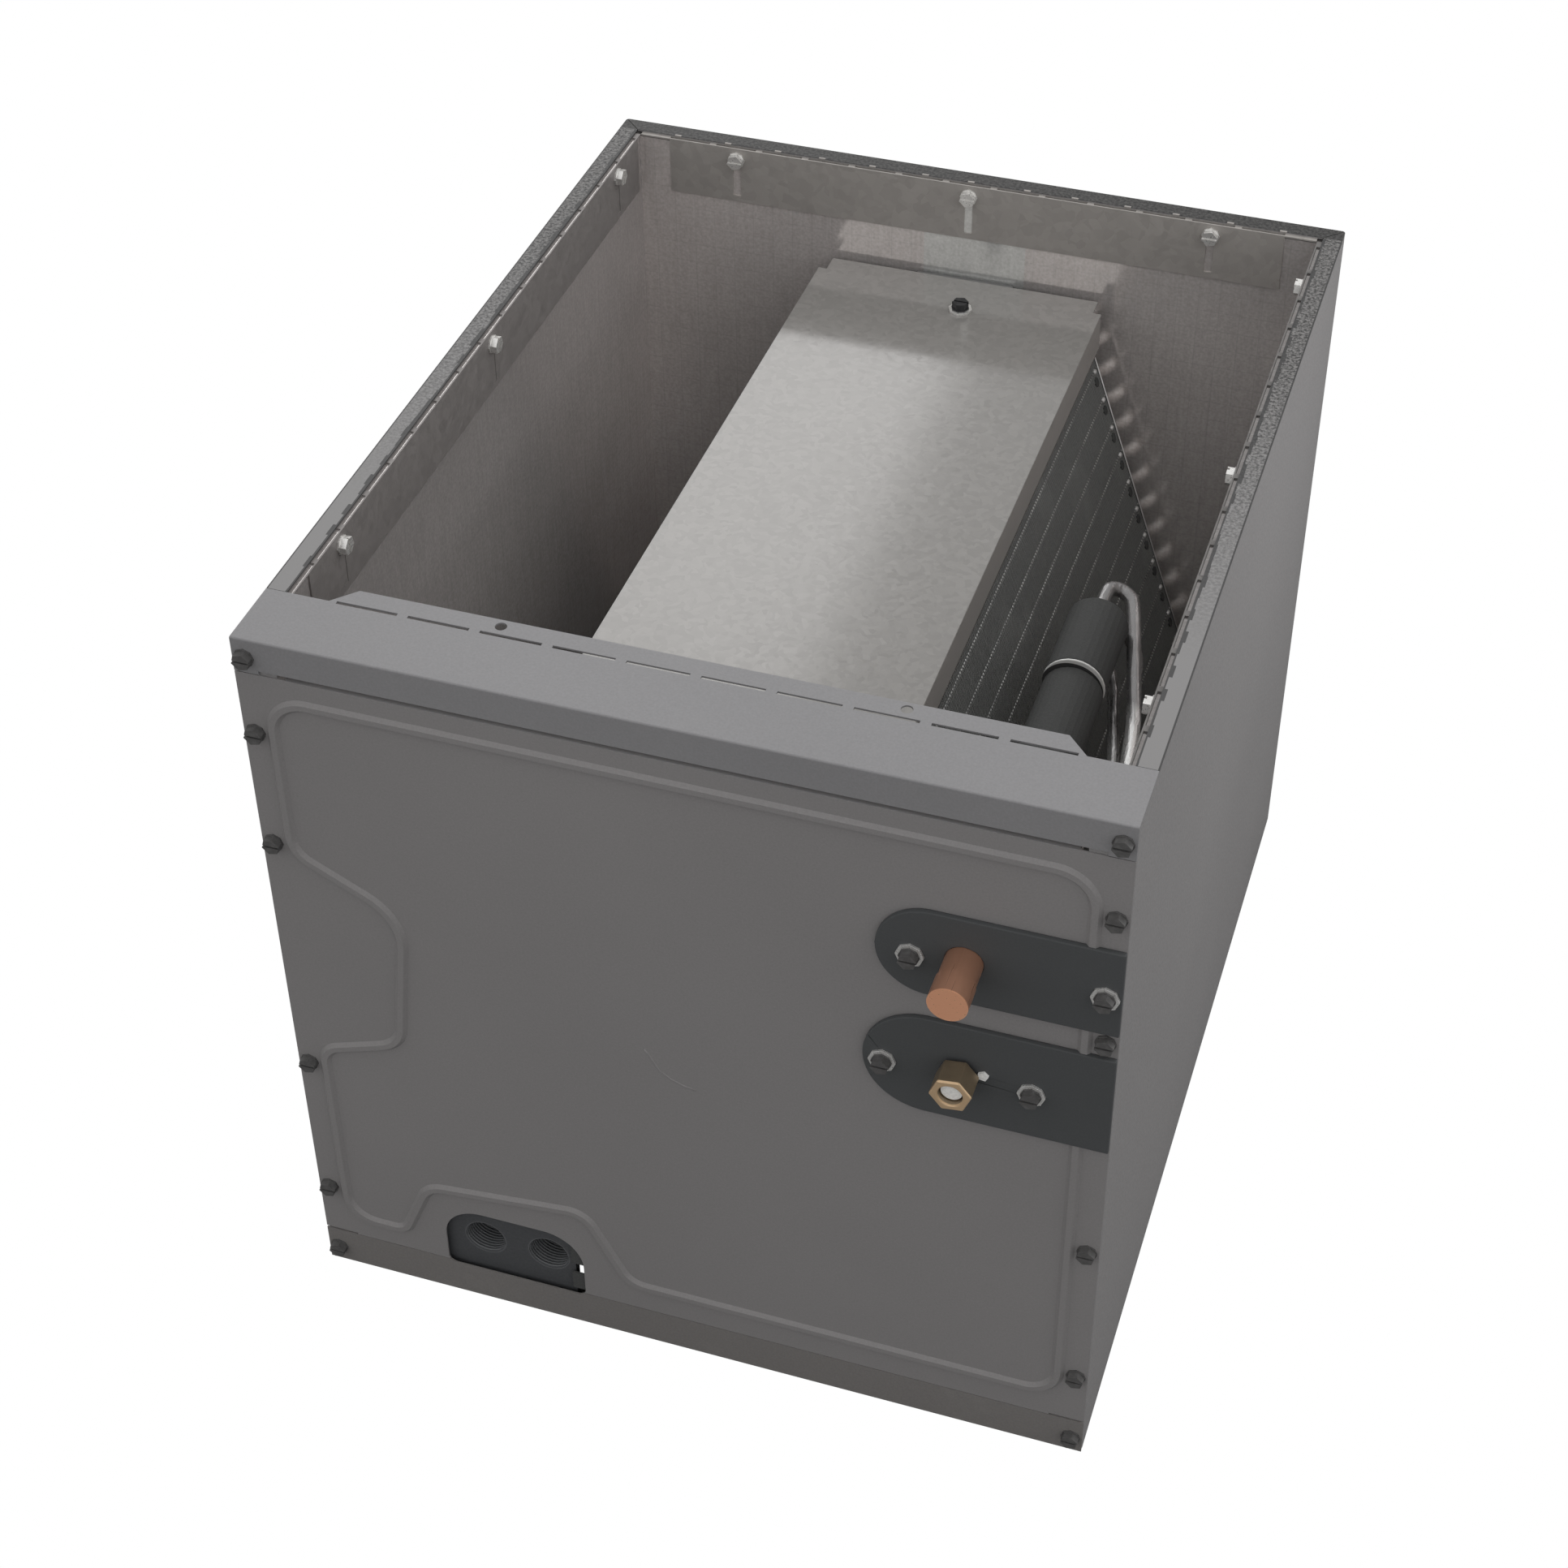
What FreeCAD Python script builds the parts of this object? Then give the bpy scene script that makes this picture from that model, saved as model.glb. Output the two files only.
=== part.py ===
import FreeCAD, Part
import math
import os

# Cased evaporator coil: a folded steel case, open at top and bottom, round an A-shaped finned coil.
# Millimetres. X runs across the front, Y from the access panel to the back, Z up.
# The base stands on Z = 0 and the origin is centred under the whole part, line stub included.

# Case
WIDTH = 444.5
DEPTH = 536.6
HEIGHT = 457.2
SHEET = 1.0
CORNER_RADIUS = 2.0
FRONT_RETURN = 22.0
RIM_WIDTH = 11.0
MITRE_GAP = 0.7
BASE_FLANGE = 19.0
SEAM_GAP = 0.3

# Front rails and access panel
RAIL_FACE = 18.2
RAIL_EAR_WIDTH = 13.0
RAIL_EAR_DROP = 20.4
RAIL_DEPTH = 40.0
TAB_DEPTH = 11.8
TAB_INSET = 33.5
TAB_CHAMFER = 11.0
TAB_SLOT_PITCH = 37.5
TAB_SLOT_LENGTH = 32.0
TAB_SLOT_WIDTH = 2.0
TAB_HOLE_X = 101.5
TAB_HOLE_OFFSET = 6.8
TAB_HOLE_RADIUS = 3.0
BASE_RAIL_FACE = 25.1
BASE_RAIL_DEPTH = 27.0
PANEL_TOP_DROP = 20.9
PANEL_RETURN = 7.0
PANEL_RETURN_INSET = 26.0
PANEL_RELIEF_LENGTH = 19.3
PANEL_RELIEF_HEIGHT = 1.2
RAIL_FOLD_RADIUS = 0.9
BEAD_WIDTH = 7.0
BEAD_CREST = 3.2
BEAD_HEIGHT = 2.0
BEAD_SIDE_INSET = 16.25
BEAD_TOP_DROP = 34.7
BEAD_FOOT_Z = 45.0
# The arch over the drain opening and the step in the left run: insets from the left side,
# then heights for the arch and drops from the top for the step
BEAD_ARCH_INSETS = (185.75, 161.25, 68.25, 51.25)
BEAD_ARCH_HEIGHTS = (45.0, 95.0, 84.0, 41.5)
BEAD_STEP_INSETS = (16.25, 63.25, 73.75, 16.25)
BEAD_STEP_DROPS = (279.2, 261.2, 165.2, 135.2)
BEAD_RADII = (20.0, 20.0, 18.0, 16.0, 14.0, 16.0, 9.0, 18.0, 14.0, 20.0, 32.0, 18.0)

# Screws
SCREW_INSET = 6.4
RAIL_SCREW_DROP = 11.2
BASE_SCREW_Z = 11.0
PANEL_SCREW_HEIGHTS = (63.5, 165.0)
PANEL_SCREW_DROPS_LEFT = (131.2, 58.2)
PANEL_SCREW_DROPS_RIGHT = (139.2, 58.2)
SCREW_RADIUS = 2.2
SCREW_HEAD_ACROSS = 8.6
SCREW_HEAD_HEIGHT = 3.6
SCREW_COLLAR_RADIUS = 5.4
SCREW_COLLAR = 1.0
SCREW_REACH = 3.0
SCREW_SLOT = 1.2
SCREW_HEAD_TURN = 15.0
WASHER_RADIUS = 7.2
WASHER_THICK = 1.4

# Duct flange strips inside the top opening
FOLD_GAP = 2.2
STRIP_SHEET = 0.9
STRIP_DROP = 37.0
STRIP_SLOT_LENGTH = 26.0
STRIP_SLOT_PITCH = 30.0
STRIP_FRONT_INSET = 17.8
STRIP_REAR_INSET = 19.5
STRIP_SIDE_INSET = 33.0
STRIP_SCREW_DROP = 8.4
STRIP_SCREW_INSET_SIDE = 35.5
STRIP_SCREW_INSET_REAR = 42.85
LIFT_SLOT_WIDTH = 5.0
LIFT_SLOT_LENGTH = 25.0

# Liner and pan supports
LINER_FOOT = 31.0
LINER_FRONT_INSET = 5.5
LINER_CORNER_GAP = 1.2
PANEL_LINER = 8.0
PAN_RAIL_TOP = 22.0
PAN_RAIL_WIDTH = 30.0
PAN_RAIL_HEIGHT = 16.0
PAN_RAIL_SHEET = 1.5

# Drain pan
PAN_SIDE_INSET = 14.9
PAN_FRONT_INSET = 30.0
PAN_REAR_INSET = 15.9
PAN_HEIGHT = 50.0
PAN_WALL = 2.5
PAN_CORNER = 6.0
PAN_TROUGH_WIDTH = 95.35
PAN_OPENING_FRONT = 62.0
PAN_OPENING_REAR = 55.0
PAN_CURB = 34.0
PORT_INSETS = (98.25, 136.25)
PORT_Z = 47.0
PORT_BORE = 12.0
PORT_SETBACK = 4.0
PORT_HUB_RADIUS = 15.0
PORT_FLANGE_LEFT = 27.0
PORT_FLANGE_RIGHT = 15.8
PORT_FLANGE_FOOT = 9.0
PORT_FLANGE_THICK = 5.0
DRAIN_CENTRE_INSET = 117.25
DRAIN_LENGTH = 82.7
DRAIN_TOP = 70.5
DRAIN_CORNER = 23.0
DRAIN_FOOT_CORNER = 5.0
DRAIN_FOOT_CUT = 1.9
DRAIN_MARGIN = 6.0

# Coil
CAP_DROP = 63.2
CAP_HALF = 88.5
CAP_FLANGE = 25.0
CAP_SHEET = 1.0
CAP_FRONT_INSET = 62.0
CAP_REAR_INSET = 18.3
CAP_NOTCH_WIDTH = 5.0
CAP_NOTCH_LENGTH = 13.0
CAP_SCREW_X = 7.0
CAP_SCREW_INSET = 52.3
TUBE_PITCH = 20.0
ROW_PITCH = 19.0
ROW_COUNT = 3
FACE_TO_ROW = 5.0
TUBE_RADIUS = 3.6
SLAB_TOP_DROP = 7.6
SLAB_TOP_INSET = 10.2
SLAB_FOOT_INSET = 33.9
SLAB_FOOT_CLEAR = 60.0
SLAB_LEAN_COSINE = 0.946
COIL_FRONT_INSET = 71.8
COIL_REAR_INSET = 33.3
TUBE_SHEET = 1.5
TUBE_SHEET_MARGIN = 0.6
GROOVE_WIDTH = 2.4
GROOVE_DEPTH = 1.2
BLOCK_SHEET = 1.0
BLOCK_REAR_INSET = 15.8
BLOCK_LAP = 4.0
BLOCK_FOOT_CLEAR = 4.0
BLOCK_SHELF_HALF = 30.0
BLOCK_SHELF_DEPTH = 46.0
FRONT_SHELF_DEPTH = 30.0

# Line set
LINE_INSET = 76.25
SUCTION_DROP = 104.2
LIQUID_DROP = 178.7
STUB_OUT = 32.0
SUCTION_RADIUS = 9.525
SUCTION_WALL = 1.1
STUB_CAP_RADIUS = 10.1
STUB_CAP_LENGTH = 14.0
STUB_CAP_END = 1.2
PLATE_THICK = 3.0
PLATE_LEFT_INSET = 93.25
SUCTION_PLATE_RADIUS = 27.0
LIQUID_PLATE_DROP = 180.4
LIQUID_PLATE_RADIUS = 32.4
PLATE_OVERLAP = 9.0
SUCTION_SCREW_INSETS = (102.65, 7.95)
LIQUID_SCREW_INSETS = (115.25, 39.75)
PLATE_SCREW_DROP = 2.4
SLEEVE_START = 12.0
SLEEVE_RING_INSET = 211.3
SLEEVE_REAR_INSET = 268.0
FRONT_SLEEVE_RADIUS = 16.5
FRONT_SLEEVE_SAG = 3.6
REAR_SLEEVE_RADIUS = 16.9
RING_RADIUS = 17.1
RING_THICK = 1.2
LIQUID_RADIUS = 4.76
NUT_ACROSS = 19.05
NUT_LENGTH = 15.0
NUT_BORE = 6.3
NUT_STAND_OFF = 2.0
NUT_TURN = 8.0
PLUG_RADIUS = 5.5
PLUG_RECESS = 3.3
PLUG_LENGTH = 4.0
VALVE_SETBACK = 30.0
VALVE_LENGTH = 24.0
VALVE_HALF = 12.0
VALVE_FOOT = 15.0
VALVE_DOME_RADIUS = 16.0
VALVE_DOME_HEIGHT = 8.0
DISTRIBUTOR_RADIUS = 9.0
CIRCUIT_TUBE_RADII = (4.3, 3.8, 3.3)
CIRCUIT_BEND = 16.0
FEEDER_RADIUS = 2.4
FEEDER_BEND = 7.0
FEEDER_RING = 5.0
FEEDER_TURNS = (330, 210, 90)
FEEDER_LOOP = 12.0
FEEDER_LOOP_STEP = 7.0
DISTRIBUTOR_LENGTH = 10.0
COIL_TUBE_LEAD = 14.0
FEEDER_REACH = 205.0
CIRCUIT_REACH = 225.0
COIL_TUBE_STEP = 40.0
# Corners of the circuit tubes, from the rear end of the suction line
CIRCUIT_PATHS = (
    ((-1, 0, 3), (-1, 30, 3), (13, 30, -2), (34, -58, -17), (36, -82, -36), (37, -120, -70),
     (37, -165, -112)),
    ((5, 0, -4.5), (5, 12, -4.5), (21.5, 12, -23), (24.5, -12, -27), (28.5, -34, -28), (36, -76, -44),
     (36.5, -110, -82), (36.5, -165, -152)),
    ((-5, 0, -5), (-5, 10, -5), (4, 10, -27), (14, -16, -32), (18.5, -36, -32), (24, -56, -40),
     (29, -76, -58), (32, -98, -92), (34, -128, -140), (37, -165, -190), (39, -204, -232)))


# Sides and steps of small round work
SMALL_SIDES = 6
COLLAR_SIDES = 8
SLEEVE_SIDES = 28
HUB_SIDES = 16
TUBE_SIDES = 6
RETURN_SIDES = 6
BEND_STEP = math.radians(40)
RETURN_STEP = math.radians(90)

# How far a cut runs past the piece it goes through, and what a full round end stops short of
PAST = 5.0
ARC_SLACK = 0.01

# Positions that follow from the sizes above
FRONT = -(DEPTH - STUB_OUT) / 2
BACK = FRONT + DEPTH
HALF = WIDTH / 2
SKIN = FRONT + SHEET
WALL_X = HALF - SHEET
WALL_Y = BACK - SHEET
RIM_X = HALF - RIM_WIDTH
RIM_Y = BACK - RIM_WIDTH
STRIP_X = RIM_X - FOLD_GAP
STRIP_Y = RIM_Y - FOLD_GAP
RIM_FRONT = FRONT + RAIL_DEPTH + SEAM_GAP
SHELF_TOP = HEIGHT - SHEET
STRIP_TOP = SHELF_TOP - STRIP_SHEET
PANEL_TOP = HEIGHT - PANEL_TOP_DROP
PANEL_FOOT = BASE_RAIL_FACE + SEAM_GAP
CAP_TOP = HEIGHT - CAP_DROP
LINE_X = HALF - LINE_INSET
SUCTION_Z = HEIGHT - SUCTION_DROP
LIQUID_Z = HEIGHT - LIQUID_DROP
LIQUID_PLATE_Z = HEIGHT - LIQUID_PLATE_DROP
PORT_X = tuple(inset - HALF for inset in PORT_INSETS)
SHELF_Z = CAP_TOP - CAP_SHEET - BLOCK_SHEET
PAN_FLOOR = PAN_RAIL_TOP + PAN_WALL
SLAB_TOP_Z = CAP_TOP - SLAB_TOP_DROP
SLAB_TOP_X = CAP_HALF - SLAB_TOP_INSET
SLAB_DEPTH = ROW_COUNT * ROW_PITCH
TUBE_COUNT = int((SLAB_TOP_Z - SLAB_FOOT_CLEAR) / (TUBE_PITCH * SLAB_LEAN_COSINE))
SLAB_LENGTH = TUBE_COUNT * TUBE_PITCH
LEAN_SIN = (HALF - SLAB_FOOT_INSET - SLAB_TOP_X) / SLAB_LENGTH
LEAN_COS = math.sqrt(1 - LEAN_SIN ** 2)
COIL_FRONT = FRONT + COIL_FRONT_INSET
COIL_REAR = BACK - COIL_REAR_INSET
BLOCK_REAR = BACK - BLOCK_REAR_INSET
BLOCK_FRONT = COIL_FRONT - TUBE_SHEET - BLOCK_SHEET
SLEEVE_REAR = FRONT + SLEEVE_REAR_INSET
RING_Y = FRONT + SLEEVE_RING_INSET


def on_xy(a, b, level):
    return FreeCAD.Vector(a, b, level)


def on_xz(a, b, level):
    return FreeCAD.Vector(a, level, b)


def outline(points, place, level, radii=None):
    # Closed wire through the points, with an arc of the given radius at each corner.
    count = len(points)
    radii = radii or [0] * count
    starts = []
    ends = []
    middles = []
    for i, corner in enumerate(points):
        before = points[i - 1]
        after = points[(i + 1) % count]
        length_in = math.dist(before, corner)
        length_out = math.dist(corner, after)
        to_before = ((before[0] - corner[0]) / length_in, (before[1] - corner[1]) / length_in)
        to_after = ((after[0] - corner[0]) / length_out, (after[1] - corner[1]) / length_out)
        cosine = to_before[0] * to_after[0] + to_before[1] * to_after[1]
        half_angle = math.acos(max(-1.0, min(1.0, cosine))) / 2
        if radii[i] == 0:
            starts.append(corner)
            ends.append(corner)
            middles.append(None)
            continue
        reach = radii[i] / math.tan(half_angle)
        starts.append((corner[0] + to_before[0] * reach, corner[1] + to_before[1] * reach))
        ends.append((corner[0] + to_after[0] * reach, corner[1] + to_after[1] * reach))
        bisector = (to_before[0] + to_after[0], to_before[1] + to_after[1])
        size = math.hypot(*bisector)
        inset = radii[i] / math.sin(half_angle) - radii[i]
        middles.append((corner[0] + bisector[0] / size * inset, corner[1] + bisector[1] / size * inset))
    edges = []
    for i in range(count):
        after = (i + 1) % count
        if middles[i]:
            arc = [place(*p, level) for p in (starts[i], middles[i], ends[i])]
            edges.append(Part.Arc(*arc).toShape())
        if math.dist(ends[i], starts[after]) > 1e-6:
            edges.append(Part.makeLine(place(*ends[i], level), place(*starts[after], level)))
    return Part.Wire(edges)


def plate_xy(points, z0, z1, radii=None):
    return Part.Face(outline(points, on_xy, z0, radii)).extrude(FreeCAD.Vector(0, 0, z1 - z0))


def plate_xz(points, y0, y1, radii=None):
    return Part.Face(outline(points, on_xz, y0, radii)).extrude(FreeCAD.Vector(0, y1 - y0, 0))


def box(x0, x1, y0, y1, z0, z1):
    return Part.makeBox(x1 - x0, y1 - y0, z1 - z0, FreeCAD.Vector(x0, y0, z0))


def rod_y(x, z, radius, y0, y1):
    return Part.makeCylinder(radius, y1 - y0, FreeCAD.Vector(x, y0, z), FreeCAD.Vector(0, 1, 0))


def rod_z(x, y, radius, z0, z1):
    return Part.makeCylinder(radius, z1 - z0, FreeCAD.Vector(x, y, z0), FreeCAD.Vector(0, 0, 1))


def ring_points(radius, sides, turn=0.0):
    angles = [math.radians(turn + 360 * i / sides) for i in range(sides)]
    return [(radius * math.cos(a), radius * math.sin(a)) for a in angles]


def punched_y(x, z, y0, y1):
    # Screw hole under a head, as a many-sided punch.
    return plate_xz([(x + a, z + b) for a, b in ring_points(SCREW_RADIUS, SMALL_SIDES)], y0, y1)


def mirror(shape):
    return shape.mirror(FreeCAD.Vector(0, 0, 0), FreeCAD.Vector(1, 0, 0))


def joined(shapes):
    first = shapes[0]
    return first.fuse(shapes[1:]).removeSplitter()


def without(shape, tools):
    return shape.cut(tools)


def bent_route(points, bend, share=0.45, turn_step=BEND_STEP):
    # Points along straight runs and bends; a bend takes at most the given share of its shorter run.
    points = [FreeCAD.Vector(*p) for p in points]
    route = [points[0]]
    for before, corner, after in zip(points, points[1:], points[2:]):
        to_before = (before - corner).normalize()
        to_after = (after - corner).normalize()
        half_angle = to_before.getAngle(to_after) / 2
        shortest = min((before - corner).Length, (after - corner).Length)
        reach = min(bend / math.tan(half_angle), shortest * share)
        arc_radius = reach * math.tan(half_angle)
        middle = corner + (to_before + to_after).normalize() * (arc_radius / math.sin(half_angle))
        start = corner + to_before * reach - middle
        end = corner + to_after * reach - middle
        sweep = start.getAngle(end)
        steps = max(1, math.ceil(sweep / turn_step - 0.01))
        for i in range(steps + 1):
            part = sweep * i / steps
            point = middle + (start * math.sin(sweep - part) + end * math.sin(part)) / math.sin(sweep)
            if (point - route[-1]).Length > 0.01:
                route.append(point)
    if (points[-1] - route[-1]).Length > 0.01:
        route.append(points[-1])
    return route


def tube(route, radius, sides=TUBE_SIDES):
    # Tube of few flat sides along the route, mitred at each point.
    route = [FreeCAD.Vector(*p) for p in route]
    along = (route[1] - route[0]).normalize()
    first = Part.Wire(Part.makeCircle(radius, route[0], along)).Edges[0]
    step = (first.LastParameter - first.FirstParameter) / sides
    ring = [first.valueAt(first.FirstParameter + i * step) for i in range(sides)]
    faces = [Part.Face(Part.makePolygon(ring + ring[:1]))]
    for i in range(1, len(route)):
        along = (route[i] - route[i - 1]).normalize()
        onward = (route[min(i + 1, len(route) - 1)] - route[min(i, len(route) - 2)]).normalize()
        mitre = (along + onward).normalize()
        reached = []
        for point in ring:
            travel = (route[i] - point).dot(mitre) / along.dot(mitre)
            reached.append(point + along * travel)
        for j in range(sides):
            k = (j + 1) % sides
            faces.append(Part.Face(Part.makePolygon([ring[j], ring[k], reached[k], reached[j], ring[j]])))
        ring = reached
    faces.append(Part.Face(Part.makePolygon(ring + ring[:1])))
    solid = Part.Solid(Part.makeShell(faces))
    if solid.Volume < 0:
        solid.reverse()
    return solid


def screw(reach, washer=0.0):
    # Collared hex screw standing on its own seat at the origin, head towards +Z.
    head_foot = washer + SCREW_COLLAR
    head_top = head_foot + SCREW_HEAD_HEIGHT
    shank = plate_xy(ring_points(SCREW_RADIUS, SMALL_SIDES), -reach, head_foot)
    collar = plate_xy(ring_points(SCREW_COLLAR_RADIUS, COLLAR_SIDES), washer, head_foot)
    head = plate_xy(ring_points(SCREW_HEAD_ACROSS / math.sqrt(3), 6, SCREW_HEAD_TURN), head_foot, head_top)
    slot = box(-SCREW_HEAD_ACROSS, SCREW_HEAD_ACROSS, -SCREW_SLOT / 2, SCREW_SLOT / 2,
               head_top - SCREW_SLOT, head_top + PAST)
    return without(joined([shank, collar, head]), [slot])


def washer_ring():
    outer = plate_xy(ring_points(WASHER_RADIUS, COLLAR_SIDES), 0, WASHER_THICK)
    return without(outer, [plate_xy(ring_points(SCREW_RADIUS, SMALL_SIDES), -PAST, WASHER_THICK + PAST)])


def facing(shape, direction, point):
    # Turns a shape made along +Z to the given direction and moves it to the point.
    placed = shape.copy()
    turn = FreeCAD.Rotation(FreeCAD.Vector(0, 0, 1), FreeCAD.Vector(*direction))
    placed.Placement = FreeCAD.Placement(FreeCAD.Vector(*point), turn)
    return placed


def save(name, shape):
    if isinstance(shape, list):
        shape = Part.makeCompound(shape)
    shape.exportStep("parts/" + name + ".step")


os.makedirs("parts", exist_ok=True)

# Where the screws sit on the front
rail_screw_z = HEIGHT - RAIL_SCREW_DROP
screw_x = HALF - SCREW_INSET
left_screw_z = list(PANEL_SCREW_HEIGHTS) + [HEIGHT - drop for drop in PANEL_SCREW_DROPS_LEFT]
right_screw_z = list(PANEL_SCREW_HEIGHTS) + [HEIGHT - drop for drop in PANEL_SCREW_DROPS_RIGHT]
panel_screws = [(-screw_x, z) for z in left_screw_z] + [(screw_x, z) for z in right_screw_z]
rail_screws = [(-screw_x, rail_screw_z), (screw_x, rail_screw_z)]
base_screws = [(-screw_x, BASE_SCREW_Z), (screw_x, BASE_SCREW_Z)]
suction_screws = [(HALF - inset, SUCTION_Z - PLATE_SCREW_DROP) for inset in SUCTION_SCREW_INSETS]
liquid_screws = [(HALF - inset, LIQUID_PLATE_Z - PLATE_SCREW_DROP) for inset in LIQUID_SCREW_INSETS]


def screw_holes(places, rear=FRONT + PAST):
    return [punched_y(x, z, FRONT - PAST, rear) for x, z in places]


# Case wrap: one sheet folded round both sides and the back, with returns behind the panel edges
inner_radius = CORNER_RADIUS - SHEET
profile = [(-HALF + FRONT_RETURN, SKIN), (-HALF, SKIN), (-HALF, BACK), (HALF, BACK), (HALF, SKIN),
           (HALF - FRONT_RETURN, SKIN), (HALF - FRONT_RETURN, SKIN + SHEET), (WALL_X, SKIN + SHEET),
           (WALL_X, WALL_Y), (-WALL_X, WALL_Y), (-WALL_X, SKIN + SHEET), (-HALF + FRONT_RETURN, SKIN + SHEET)]
profile_radii = [0, CORNER_RADIUS, CORNER_RADIUS, CORNER_RADIUS, CORNER_RADIUS, 0,
                 0, inner_radius, inner_radius, inner_radius, inner_radius, 0]
wrap = plate_xy(profile, 0, HEIGHT, profile_radii)


def edge_flanges(width, front, z0, z1):
    # Side and rear flanges turned in from the walls, mitred at the back corners.
    into = SHEET / 2
    gap = MITRE_GAP / 2
    left = [(-HALF + into, front), (-HALF + width, front), (-HALF + width, BACK - width - gap),
            (-HALF + into, BACK - into - gap)]
    right = [(-x, y) for x, y in reversed(left)]
    rear = [(-HALF + into + gap, BACK - into), (-HALF + width + gap, BACK - width),
            (HALF - width - gap, BACK - width), (HALF - into - gap, BACK - into)]
    return [plate_xy(left, z0, z1), plate_xy(right, z0, z1), plate_xy(rear, z0, z1)]


top_flanges = edge_flanges(RIM_WIDTH, RIM_FRONT, SHELF_TOP, HEIGHT)
base_front = FRONT + BASE_RAIL_DEPTH + SEAM_GAP
base_flanges = edge_flanges(BASE_FLANGE, base_front, 0, SHEET)
rail_seat = box(-WIDTH, WIDTH, FRONT - PAST, RIM_FRONT, SHELF_TOP, HEIGHT + PAST)
base_seat = box(-WALL_X, WALL_X, FRONT - PAST, base_front, -PAST, SHEET + SEAM_GAP)
wrap_holes = screw_holes(panel_screws + rail_screws + base_screws + suction_screws[1:])
wrap = joined([without(wrap, [rail_seat, base_seat])] + top_flanges + base_flanges)
save("case_wrap", without(wrap, wrap_holes))

# Top rail across the front, with a slotted tab that bends up as the front duct flange
tab_half = HALF - TAB_INSET
tab_end = tab_half - TAB_CHAMFER
rail_back = FRONT + RAIL_DEPTH
rail_top = plate_xy([(-HALF, FRONT), (HALF, FRONT), (HALF, rail_back), (tab_half, rail_back),
                     (tab_end, rail_back + TAB_DEPTH), (-tab_end, rail_back + TAB_DEPTH),
                     (-tab_half, rail_back), (-HALF, rail_back)], SHELF_TOP, HEIGHT)
ear_x = HALF - RAIL_EAR_WIDTH
ear_z = HEIGHT - RAIL_EAR_DROP
face_z = HEIGHT - RAIL_FACE
rail_face = plate_xz([(-HALF, ear_z), (-ear_x, ear_z), (-ear_x, face_z), (ear_x, face_z), (ear_x, ear_z),
                      (HALF, ear_z), (HALF, HEIGHT), (-HALF, HEIGHT)], FRONT, SKIN)
rail = joined([rail_top, rail_face])
front_edges = []
for edge in rail.Edges:
    middle = edge.CenterOfMass
    if abs(middle.y - FRONT) < 0.01 and abs(middle.z - HEIGHT) < 0.01:
        front_edges.append(edge)
rail = rail.makeFillet(RAIL_FOLD_RADIUS, front_edges)
rail_cuts = screw_holes(rail_screws)
slot_count = int(2 * tab_half / TAB_SLOT_PITCH)
for i in range(slot_count):
    slot_x = (i - (slot_count - 1) / 2) * TAB_SLOT_PITCH
    rail_cuts.append(box(slot_x - TAB_SLOT_LENGTH / 2, slot_x + TAB_SLOT_LENGTH / 2,
                         rail_back - TAB_SLOT_WIDTH / 2, rail_back + TAB_SLOT_WIDTH / 2,
                         SHELF_TOP - PAST, HEIGHT + PAST))
for side in (-1, 1):
    rail_cuts.append(rod_z(side * TAB_HOLE_X, rail_back + TAB_HOLE_OFFSET, TAB_HOLE_RADIUS,
                           SHELF_TOP - PAST, HEIGHT + PAST))
save("front_top_rail", without(rail, rail_cuts))

# Base rail across the front
base_face = box(-HALF, HALF, FRONT, SKIN, 0, BASE_RAIL_FACE)
base_shelf = box(-WALL_X + SEAM_GAP, WALL_X - SEAM_GAP, SKIN, FRONT + BASE_RAIL_DEPTH, 0, SHEET)
drain_left = DRAIN_CENTRE_INSET - HALF - DRAIN_LENGTH / 2
drain_right = drain_left + DRAIN_LENGTH
drain_foot = BASE_RAIL_FACE - DRAIN_FOOT_CUT
drain_points = [(drain_left, drain_foot), (drain_right, drain_foot),
                (drain_right, DRAIN_TOP), (drain_left, DRAIN_TOP)]
drain_radii = [DRAIN_FOOT_CORNER, DRAIN_FOOT_CORNER, DRAIN_CORNER, DRAIN_CORNER]
drain_cut = plate_xz(drain_points, FRONT - PAST, SKIN + PANEL_LINER + PAST, drain_radii)
drain_room = box(drain_left - DRAIN_MARGIN, drain_right + DRAIN_MARGIN,
                 SKIN, FRONT + PAN_FRONT_INSET, 2 * SHEET, DRAIN_TOP + DRAIN_MARGIN)
base_rail = joined([base_face, base_shelf])
save("front_base_rail", without(base_rail, screw_holes(base_screws) + [drain_cut]))

# Access panel: turned-in top and bottom edges, a raised bead, and openings for lines and drains
bead_x = HALF - BEAD_SIDE_INSET
bead_top = HEIGHT - BEAD_TOP_DROP
bead_arch = [(inset - HALF, z) for inset, z in zip(BEAD_ARCH_INSETS, BEAD_ARCH_HEIGHTS)]
bead_step = [(inset - HALF, HEIGHT - drop) for inset, drop in zip(BEAD_STEP_INSETS, BEAD_STEP_DROPS)]
bead_corner = (-bead_x, BEAD_ARCH_HEIGHTS[-1])
bead_right = [(-bead_x, bead_top), (bead_x, bead_top), (bead_x, BEAD_FOOT_Z)]
bead_points = bead_right + bead_arch + [bead_corner] + bead_step
bead_path = outline(bead_points, on_xz, FRONT, BEAD_RADII)
bead_foot = BEAD_WIDTH / 2
bead_crest = BEAD_CREST / 2


def bead_loft(foot_offset, crest_offset):
    foot = bead_path.makeOffset2D(foot_offset)
    crest = bead_path.makeOffset2D(crest_offset)
    crest.translate(FreeCAD.Vector(0, -BEAD_HEIGHT, 0))
    return Part.makeLoft([foot, crest], True, True)


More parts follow.
